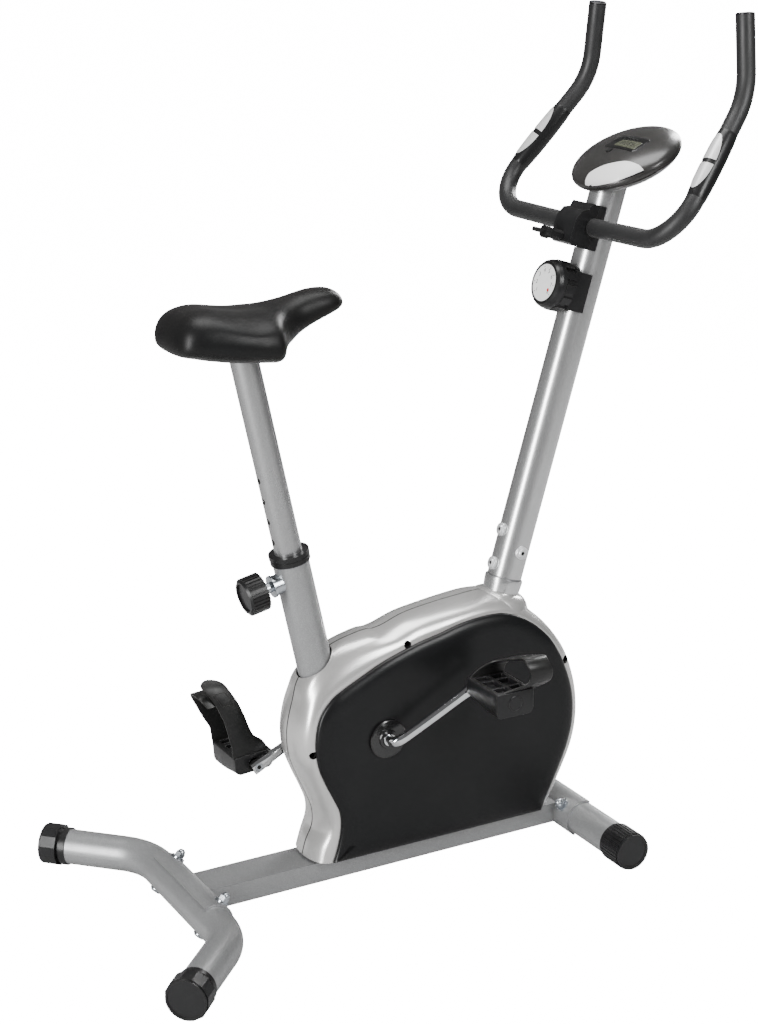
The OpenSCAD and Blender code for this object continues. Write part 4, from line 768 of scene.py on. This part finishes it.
def saddle_slice(station, steps=56):
    share, wide, top, low = station
    half = max(1.0, wide * SADDLE_HALF)
    middle = low + 0.34 * (top - low)
    ring = []
    for i in range(steps):
        turn = 2 * math.pi * i / steps
        c, s = math.cos(turn), math.sin(turn)
        height = middle + ((top - middle) * bulge(s, 0.85) if s > 0 else (middle - low) * bulge(s, 0.6))
        ring.append(Vector((saddle_rear + share * SADDLE_LENGTH * MM, half * bulge(c, 0.72) * MM,
                            plate_top + height * MM)))
    return ring


stations = curve_through(SADDLE, 4)
print(len(stations), "slices")

# %% The vinyl
SKIN_VOXEL, PUFF_STEPS, PUFF_LIMIT = 0.0035, 12, 0.0012
DENT_DEPTH, DENT_AT = 1.6 * MM, 0.33
saddle = loft("saddle_vinyl", [saddle_slice(s) for s in stations])
saddle = modify(saddle, "REMESH", mode="VOXEL", voxel_size=SKIN_VOXEL, use_smooth_shade=True)
form = bpy.data.objects.new("form", saddle.data.copy())
bpy.context.scene.collection.objects.link(form)
rest = [v.co.copy() for v in form.data.vertices]
cloth = form.modifiers.new("cloth", "CLOTH")
cloth.settings.use_pressure = True
cloth.settings.uniform_pressure_force = 4
cloth.settings.tension_stiffness = cloth.settings.compression_stiffness = 60
cloth.settings.effector_weights.gravity = 0
cloth.point_cache.frame_end = PUFF_STEPS
for step in range(1, PUFF_STEPS + 1):
    bpy.context.scene.frame_set(step)
puffed = form.evaluated_get(bpy.context.evaluated_depsgraph_get()).to_mesh()
moved = [p.co.copy() for p in puffed.vertices]
form.to_mesh_clear()
bpy.context.scene.frame_set(1)
bpy.data.objects.remove(form)
for vertex, old, new in zip(saddle.data.vertices, rest, moved):
    shift = new - old
    vertex.co = old + shift * min(1.0, PUFF_LIMIT / max(shift.length, 1e-9))
print("vinyl puffed by at most", PUFF_LIMIT * 1000, "mm")
modify(saddle, "SMOOTH", factor=0.6, iterations=14)
for vertex in saddle.data.vertices:
    p = vertex.co
    share = (p.x - saddle_rear) / (SADDLE_LENGTH * MM)
    top_side = ease(p.z, plate_top + 0.026, plate_top + 0.045)
    p.z -= DENT_DEPTH * top_side * math.exp(-((share - DENT_AT) / 0.2) ** 2) * math.exp(-(p.y / 0.016) ** 2)
saddle.data.update()
dress(shade(saddle, 60), vinyl, "saddle", "saddle_vinyl", "saddle_cushion")
print("saddle has", len(saddle.data.polygons), "faces")

# %% [markdown]
# ## Console
# The console is a tilted oval case of two shells with a thin gap between them. The upper shell carries a
# sunk black window with a grey-green display, and a white crescent on its rider's side.

# %% Case
CONSOLE_REACH, CONSOLE_HALF, CONSOLE_THICK = 78.0, 84.0, 26.0


def console_ring(latitude, smaller=0.0, steps=96):
    c, s = math.cos(math.radians(latitude)), math.sin(math.radians(latitude))
    ring = []
    for i in range(steps):
        turn = 2 * math.pi * i / steps
        ring.append(on_console((CONSOLE_REACH - smaller) * c * math.cos(turn),
                               (CONSOLE_HALF - smaller) * c * math.sin(turn), (CONSOLE_THICK - smaller) * s))
    return ring


SPLIT = -9
top_rings = [console_ring(SPLIT, 2.0), console_ring(SPLIT + 1.2, 0.6), console_ring(SPLIT + 2.4)]
top_rings += [console_ring(SPLIT + 2.4 + (88 - SPLIT - 2.4) * i / 30) for i in range(1, 31)]
top_case = loft("console_upper", top_rings)
button_low, button_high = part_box("console_button")
button_at = (Vector(button_low) + Vector(button_high)) / 2
BUTTON_HOLE = 5.4
cut(top_case, lathe("drill", [(BUTTON_HOLE, -12), (BUTTON_HOLE, 12)], button_at, CONSOLE_UP))
base_rings = [console_ring(SPLIT, 2.0), console_ring(SPLIT - 1.4, 0.6), console_ring(SPLIT - 2.8)]
base_rings += [console_ring(SPLIT - 2.8 - (88 + SPLIT - 2.8) * i / 22) for i in range(1, 23)]
base_case = loft("console_lower", base_rings)
dress(shade(top_case), console_plastic, "frame", "cover_black", "console_top", "console_lens",
      "console_circuit")
dress(shade(base_case), console_plastic, "frame", "cover_black", "console_base")
print("case done")


# %% Window, display and crescent
def on_case(ahead, side, lift):
    """Point that lies a little above the upper shell."""
    left = max(0.0, 1 - (ahead / CONSOLE_REACH) ** 2 - (side / CONSOLE_HALF) ** 2)
    return on_console(ahead, side, CONSOLE_THICK * math.sqrt(left) + lift)


def inlay(name, first, second, lift, thick, material, slot, across=10):
    """Thin piece between two lines on the case: each is a list of places ahead and to the side."""
    rings = []
    for a, b in zip(first, second):
        row = [Vector(a).lerp(Vector(b), i / across) for i in range(across + 1)]
        upper = [on_case(p.x, p.y, lift) for p in row]
        lower = [on_case(p.x, p.y, lift - thick) for p in reversed(row)]
        rings.append(upper + lower)
    piece = loft(name, rings)
    modify(piece, "BEVEL", width=min(0.0004, thick * MM * 0.3), segments=2, limit_method="ANGLE",
           angle_limit=math.radians(50))
    return dress(shade(piece, 50), material, "frame", slot)


def rounded(corners, round_by, steps=24):
    """Two facing sides of a four-cornered plate with rounded corners."""
    a, b, c, d = (Vector(p) for p in corners)
    left, right_side = [], []
    for i in range(steps + 1):
        t = i / steps
        end = min(t, 1 - t) * (a - d).length / round_by
        pull = 0.5 * round_by * (1 - math.sqrt(max(0.0, 1 - (1 - min(1.0, end)) ** 2)))
        p, q = a.lerp(d, t), b.lerp(c, t)
        across = (q - p).normalized()
        left.append(p + across * pull)
        right_side.append(q - across * pull)
    return left, right_side


inlay("display_bezel", *rounded([(-15.8, 22), (16, 14), (21.5, -43), (-12, -44)], 7), 0.55, 1.5, gloss_trim,
      "cover_black")
inlay("display_panel", *rounded([(-9, 4), (5.5, 0), (10, -39), (-7.5, -40.5)], 2), 0.9, 1.0, display_face,
      "display_grey")
OUTER = curve_through([(-77.4, -4.6), (-76.4, -16), (-71.4, -32), (-62.5, -48.5), (-50.5, -61.5),
                       (-38.5, -70.5), (-26, -77)], 5)
INNER = curve_through([(-74.5, -3.4), (-66, -4.2), (-58, -10.5), (-47.5, -22), (-37.5, -36), (-29, -50.5),
                       (-25, -70)], 5)
inlay("crescent_edge", [p * 1.012 for p in OUTER],
      [p + (p - q).normalized() * 1.6 for p, q in zip(INNER, OUTER)], 0.45, 1.2, gloss_trim, "cover_black")
inlay("crescent", OUTER, INNER, 0.85, 1.0, white_plastic, "dial_white")

# %% Marks on the display
# Seven-bar figures, as any such display shows them.
BARS = {"a": ((0, 2), (1, 2)), "b": ((1, 2), (1, 1)), "c": ((1, 1), (1, 0)), "d": ((0, 0), (1, 0)),
        "e": ((0, 1), (0, 0)), "f": ((0, 2), (0, 1)), "g": ((0, 1), (1, 1))}
FIGURES = {"8": "abcdefg", "5": "acdfg"}


def display_place(u, v):
    """Place on the display from 0 to 1 across and 0 to 1 up."""
    low_edge = Vector((-7.0, 1.5)).lerp(Vector((-6.0, -38)), u)
    high_edge = Vector((4.0, -1)).lerp(Vector((8.5, -37)), u)
    return low_edge.lerp(high_edge, v)


for index, figure in enumerate("8885"):
    for bar in FIGURES[figure]:
        (u0, v0), (u1, v1) = BARS[bar]
        a = display_place(0.14 + 0.19 * index + 0.12 * u0, 0.26 + 0.25 * v0)
        b = display_place(0.14 + 0.19 * index + 0.12 * u1, 0.26 + 0.25 * v1)
        run = (b - a).normalized()
        wide = Vector((-run.y, run.x)) * 0.5
        line = [a + run * 0.5, b - run * 0.5]
        inlay("figure_%d_%s" % (index, bar), [p + wide for p in line], [p - wide for p in line], 1.0, 0.4,
              gloss_trim, "display_grey", across=1)
print("display done")

# %% [markdown]
# ## Moulded edges
# No moulded edge is knife sharp. The clamp and the tension box keep their CAD shape, and get a small
# round along each edge, which is what catches the light.

# %% Rounded clamp and tension box
EDGE_OF = {"clamp_cover": 0.0016, "bar_cradle": 0.0012, "tension_box": 0.0012}
SHARP_FROM = 24
for name, edge in EDGE_OF.items():
    smooth_copy(name, "frame", "trim_black", trim_plastic, SHARP_FROM, edge)
print(len(EDGE_OF), "pieces rounded")

# %% [markdown]
# ## Dial
# The white dial is printed with plain figures from one to eight, a scale of small dots, and one red dot
# that marks the chosen step.

# %% Printed dial
dial_low, dial_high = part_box("tension_dial")
DIAL_MIDDLE = (dial_low + dial_high) / 2
face_along = max((v.co - DIAL_MIDDLE).dot(POST_BACK) for v in frame["nodes"]["tension_dial"].data.vertices)
DIAL_FACE = DIAL_MIDDLE + POST_BACK * (face_along + 0.00008)
DIAL_RIGHT = Vector((0, -1, 0))


def on_dial(radius, degrees):
    turn = math.radians(degrees)
    return DIAL_FACE + (DIAL_RIGHT * math.cos(turn) + POST_UP * math.sin(turn)) * radius * MM


def dot(name, radius, degrees, size, material):
    piece = lathe(name, [(size, 0), (size, 0.12), (size * 0.8, 0.16)], on_dial(radius, degrees), POST_BACK,
                  20)
    return dress(piece, material, "tension_knob", "dial_white")


FIRST_FIGURE, FIGURE_STEP = 220, 37
FIGURE_RING, DOT_RING = 17.5, 22.6
for number in range(8):
    degrees = FIRST_FIGURE - number * FIGURE_STEP
    words = bpy.data.curves.new("figure", "FONT")
    words.body = str(number + 1)
    words.size = 0.0078
    words.extrude = 0.00006
    words.align_x = words.align_y = "CENTER"
    plain = bpy.data.objects.new("dial_figure_%d" % (number + 1), words)
    bpy.context.scene.collection.objects.link(plain)
    mesh = bpy.data.meshes.new_from_object(plain.evaluated_get(bpy.context.evaluated_depsgraph_get()))
    bpy.data.objects.remove(plain)
    figure = bpy.data.objects.new("dial_figure_%d" % (number + 1), mesh)
    bpy.context.scene.collection.objects.link(figure)
    figure.matrix_world = Matrix.Translation(on_dial(FIGURE_RING, degrees)) @ Matrix(
        (DIAL_RIGHT, POST_UP, POST_BACK)).transposed().to_4x4()
    bpy.context.view_layer.update()
    dress(figure, print_grey, "tension_knob", "dial_white")
    dot("dial_dot_%d" % (number + 1), DOT_RING, degrees, 0.85, print_grey)
dot("dial_mark", 15.5, -32, 2.3, print_red)
print("dial printed")

# %% [markdown]
# ## Straps
# Each strap is a band of moulded rubber, wide where it grips the pedal and narrow over the shoe. The left
# one is pulled up into a tall loop: its near half ends in a round tab that lies on the far half. A band
# is a loft too: each ring is a thin slice with rounded edges, set square to the band's own course.

# %% Bands on a pedal
PEDAL_IN, PEDAL_LENGTH, STRAP_WIDTH = 101.5, 78.0, 54.0
FAR_FOOT = PEDAL_LENGTH - 3.5
PEDAL = {"right": (Vector(joints["pedal_right_spin"]["pos_m"]), -1, 0.0),
         "left": (Vector(joints["pedal_left_spin"]["pos_m"]), 1, math.radians(4.6))}


def on_pedal(label, ahead, out, high):
    """Place that is measured from the pedal's axle, outwards from the crank."""
    axle, side, lift = PEDAL[label]
    x = ahead * math.cos(lift) - high * math.sin(lift)
    z = ahead * math.sin(lift) + high * math.cos(lift)
    return Vector((axle.x + x * MM, side * (PEDAL_IN + out) * MM, axle.z + z * MM))


BAND_SECTION = [(-1, 0.2), (-0.98, 0.42), (-0.93, 0.5), (0, 0.5), (0.93, 0.5), (0.98, 0.42), (1, 0.2),
                (1, -0.2), (0.98, -0.42), (0.93, -0.5), (0, -0.5), (-0.93, -0.5), (-0.98, -0.42), (-1, -0.2)]


def band(name, label, course, thick=3.0, round_end=False):
    """Course lists how far out, how high, how far ahead and how wide the band is, from foot to end."""
    line = [Vector(p) for p in curve_through([Vector(p) for p in course], 6)]
    run = [0.0]
    for a, b in zip(line, line[1:]):
        run.append(run[-1] + (Vector(b[:3]) - Vector(a[:3])).length)
    rings = []
    for i, p in enumerate(line):
        along = Vector(line[min(len(line) - 1, i + 1)][:2]) - Vector(line[max(0, i - 1)][:2])
        along.normalize()
        half = p[3] * STRAP_WIDTH / 2
        left = run[-1] - run[i]
        if round_end and left < half:
            half *= math.sqrt(max(0.02, 1 - (1 - left / half) ** 2))
        ring = []
        for across, deep in BAND_SECTION:
            ring.append(on_pedal(label, p[2] + across * half, p[0] - along.y * deep * thick,
                                 p[1] + along.x * deep * thick))
        rings.append(ring)
    return dress(shade(loft(name, rings), 50), strap_rubber, "pedal_" + label, "trim_black",
                 "pedal_strap_" + label)


LOW_LOOP = [(3.5, 8, 0, 1), (3.5, 17, 2, 1), (5, 27, 10, 0.8), (12, 36, 23, 0.67), (28, 42, 32, 0.65),
            (48, 48, 35, 0.65), (FAR_FOOT - 9, 55, 34, 0.65), (FAR_FOOT + 4, 57, 31, 0.65),
            (FAR_FOOT + 12, 50, 32, 0.65), (FAR_FOOT + 14, 40, 35, 0.65), (FAR_FOOT + 11, 29, 34, 0.69),
            (FAR_FOOT + 5, 21, 26, 0.82), (FAR_FOOT, 15, 8, 1), (FAR_FOOT, 8, 0, 1)]
NEAR_HALF = [(3.5, 8, -2, 1), (3.5, 20, -4, 1), (3.5, 32, -7, 0.87), (3.5, 43, -14, 0.69), (4, 59, -18, 0.62),
             (6, 76, -21.5, 0.6), (9, 95, -27.5, 0.6), (13, 110, -34, 0.6), (19, 123, -41, 0.62),
             (29, 133, -48.5, 0.64)]
FAR_HALF = [(FAR_FOOT, 8, -2, 1), (FAR_FOOT, 18, -4, 1), (FAR_FOOT, 30, -8, 0.87), (FAR_FOOT, 40, -14, 0.7),
            (FAR_FOOT, 55, -24, 0.6), (FAR_FOOT - 2, 76, -34, 0.56), (FAR_FOOT - 7, 93, -42, 0.56),
            (FAR_FOOT - 17, 105, -47.5, 0.56), (44, 110, -50, 0.56), (31, 111, -50, 0.56),
            (20, 107, -47.5, 0.56), (12.5, 97, -42, 0.54)]
band("strap_right", "right", LOW_LOOP)
band("strap_left_near", "left", NEAR_HALF, round_end=True)
band("strap_left_far", "left", FAR_HALF, 2.6)

# %% Raised frame on the tab
FRAME_LOW, FRAME_HIGH = (9, 95, -27.5), (14.6, 114.5, -36.5)
corner = [on_pedal("left", FRAME_LOW[2] + s * 9, FRAME_LOW[0] - 2.2, FRAME_LOW[1] + 0.7) for s in (-1, 1)]
corner += [on_pedal("left", FRAME_HIGH[2] + s * 9, FRAME_HIGH[0] - 2.2, FRAME_HIGH[1] + 0.7) for s in (1, -1)]
middle = sum(corner, Vector()) / 4
ridge = loft("strap_frame", [[middle + (p - middle) * k + (Vector((0, -1, 0)) * h * MM) for p in corner]
                             for k, h in ((1.0, -0.6), (1.0, 0.35), (0.93, 0.35), (0.93, -0.6))], turns=True)
dress(shade(ridge, 30), strap_rubber, "pedal_left", "trim_black")
print("straps done")

# %% [markdown]
# ## Pedals
# A pedal is one deep moulding: flat on top, with a sunk tread between two side rails, and deeper at its
# outer end than beside the crank. A round cap closes the hole for the bearing at the outer end.

# %% Moulded pedals
PEDAL_HALF, PEDAL_TOP = 29.5, 15.0
SPINDLE_HOLE, SPINDLE_DEEP = 8.0, 63.5
for label in ("right", "left"):
    rings = []
    for i in range(9):
        out = PEDAL_LENGTH * i / 8
        low = -12 - 8 * ease(out, -10, 60)
        rings.append([on_pedal(label, x, out, z) for x, z in (
            (-PEDAL_HALF, 13), (-27.8, PEDAL_TOP), (27.8, PEDAL_TOP), (PEDAL_HALF, 13), (PEDAL_HALF, low + 8),
            (27.5, low + 3), (23, low), (-23, low), (-27.5, low + 3), (-PEDAL_HALF, low + 8))])
    body = loft("pedal_body_" + label, rings)
    for first, last in ((9, 22), (27, 50), (55, 69)):
        for rail in (-1, 1):
            tread = [on_pedal(label, x * rail, out, z) for z in (9, 20) for x, out in (
                (3, first), (21, first), (21, last), (3, last))]
            cut(body, loft("tread", [tread[:4], tread[4:]]))
    cut(body, lathe("bearing", [(SPINDLE_HOLE, -3), (SPINDLE_HOLE, SPINDLE_DEEP)], on_pedal(label, 0, 0, 0),
                    (0, PEDAL[label][1], 0), 48))
    modify(body, "BEVEL", width=0.0009, segments=3, limit_method="ANGLE", angle_limit=math.radians(28))
    dress(shade(body, 40), trim_plastic, "pedal_" + label, "trim_black", "pedal_" + label)
    cap = lathe("pedal_cap_" + label, [(11, -1), (11, 0.5), (10.4, 0.9), (9.8, 0.3), (0.3, 0.5)],
                on_pedal(label, 0, PEDAL_LENGTH, -1), (0, PEDAL[label][1], 0), 48)
    dress(shade(cap), trim_plastic, "pedal_" + label, "trim_black")
print("pedals done")

# %% [markdown]
# ## Crank arms
# Each arm is a forged bar with rounded edges, bent outwards beside the hub so that it clears the cover,
# and cut square at its end, where the pedal's pin is screwed in. The spindle joins the two arms through
# the casing.

# %% Forged arms
ARM_LENGTH = 148.0
ARM_THICK, ARM_CORNER, PIN_HOLE = 12.5, 5, 6.5


def arm_frame(label):
    """Direction along the arm, and the side that it is on."""
    axle, side, _ = PEDAL[label]
    return unit((axle.x - CRANK.x, 0, axle.z - CRANK.z)), side


def rounded_section(wide, thick, corner, steps=5):
    """Rounded rectangle, as pairs of places across and through."""
    outline = []
    for sx, sy, start in ((1, 1, 0), (-1, 1, 90), (-1, -1, 180), (1, -1, 270)):
        for i in range(steps + 1):
            turn = math.radians(start + 90 * i / steps)
            outline.append((sx * (wide / 2 - corner) + corner * math.cos(turn),
                            sy * (thick / 2 - corner) + corner * math.sin(turn)))
    return outline


ARM_COURSE = [(0, 61.5, 15), (0, 68, 15), (2.5, 75, 14.5), (10, 79.8, 14), (30, 82.2, 14), (70, 85.4, 14),
              (110, 88.2, 14.5), (132, 90, 17), (146, 91, 19), (156.5, 91.5, 19)]
for label in ("right", "left"):
    along, side = arm_frame(label)
    over = along.cross(Vector((0, 1, 0)))
    course = curve_through(ARM_COURSE, 6)
    rings = []
    for i, p in enumerate(course):
        q = course[min(len(course) - 1, i + 1)] - course[max(0, i - 1)]
        q = Vector((q.x, q.y)).normalized()
        rings.append([CRANK + along * (p.x - q.y * b) * MM + Vector((0, side * (p.y + q.x * b) * MM, 0))
                      + over * a * MM for a, b in rounded_section(p.z, ARM_THICK, ARM_CORNER)])
    arm = loft("crank_arm_" + label, rings)
    eye = CRANK + along * ARM_LENGTH * MM
    cut(arm, lathe("drill", [(PIN_HOLE, 60), (PIN_HOLE, 120)], eye, (0, side, 0), 40))
    modify(arm, "BEVEL", width=0.0009, segments=3, limit_method="ANGLE", angle_limit=math.radians(50))
    dress(shade(arm, 40), chrome_plate, "crank", "chrome", "crank")
    # Painted shade: a near-black hexagon inside the pin hole stands for the shade deep in it.
    socket = lathe("pin_socket_" + label, [(3.4, 84.7), (3.4, 85.1)], eye, (0, side, 0), 6)
    dress(socket, shadow_black, "crank", "zinc")
spindle = lathe("crank_spindle", [(8.5, -64), (9, -63), (9, 63), (8.5, 64)], CRANK, (0, 1, 0), 40)
dress(shade(spindle), chrome_plate, "crank", "chrome")
print("arms done")

# %% [markdown]
# ## Pulse sensors
# A sensor is a slim swelling of black plastic round the grip, with two brushed plates that face the
# rider's palm. Each plate is half of a long oval, and a black bar keeps the two apart so that each
# touches its own finger.

# %% Swellings and plates
BAR_AT = on_post(885.4, 24.5)
GRIP_R, SENSOR_R, SENSOR_START, SENSOR_LENGTH = 12.8, 14.8, 70.0, 104.0


def sensor_radius(along):
    t = min(1.0, max(0.0, along / SENSOR_LENGTH))
    return GRIP_R - 0.15 + (SENSOR_R - GRIP_R + 0.15) * math.sin(math.pi * t) ** 0.5


for side, label in ((-1, "right"), (1, "left")):
    low_end = BAR_AT + Vector((-15.3, side * 223.7, 6.3)) * MM
    leg = unit((144.9, -side * 42.7, 178.3))
    palm = Vector((-0.84, side * 0.12, 0.52))
    palm = unit(palm - leg * leg.dot(palm))
    beside = leg.cross(palm)
    start = low_end + leg * SENSOR_START * MM
    body_line = [(sensor_radius(SENSOR_LENGTH * i / 40), SENSOR_LENGTH * i / 40) for i in range(41)]
    swelling = lathe("pulse_swelling_" + label, [(12.6, 0)] + body_line + [(12.6, SENSOR_LENGTH)], start, leg,
                     48)
    dress(shade(swelling), trim_plastic, "handlebar", "trim_black", "pulse_housings")
    for half, way in (("lower", -1), ("upper", 1)):
        for name, grow, lift, deep, material, slot in (
                ("pulse_rim", 1.0, 0.2, 1.0, gloss_trim, "trim_black"),
                ("pulse_plate", 0.0, 0.75, 1.6, contact_steel, "contact_steel")):
            rings = []
            for i in range(15):
                t = math.sin(math.pi / 2 * i / 14)
                run = SENSOR_LENGTH / 2 + way * (3.4 - grow + (39 + 2 * grow) * t)
                half_wide = (13.2 + grow) * math.sqrt(max(0.01, 1 - t * t))
                row = [half_wide * (2 * k / 12 - 1) for k in range(13)]
                ring = []
                for level in (lift, lift - deep):
                    for across in row if level == lift else reversed(row):
                        r = sensor_radius(run) + level
                        turn = across / SENSOR_R
                        ring.append(start + leg * run * MM + (palm * math.cos(turn) + beside * math.sin(turn))
                                    * r * MM)
                rings.append(ring)
            dress(shade(loft("%s_%s_%s" % (name, label, half), rings), 40), material, "handlebar", slot,
                  *(["pulse_plates"] if name == "pulse_plate" else []))
print("sensors done")

# %% [markdown]
# ## Size
# The box round every shown piece, with the floor left out, is measured last.

# %% Size of the shown pieces
low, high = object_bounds()
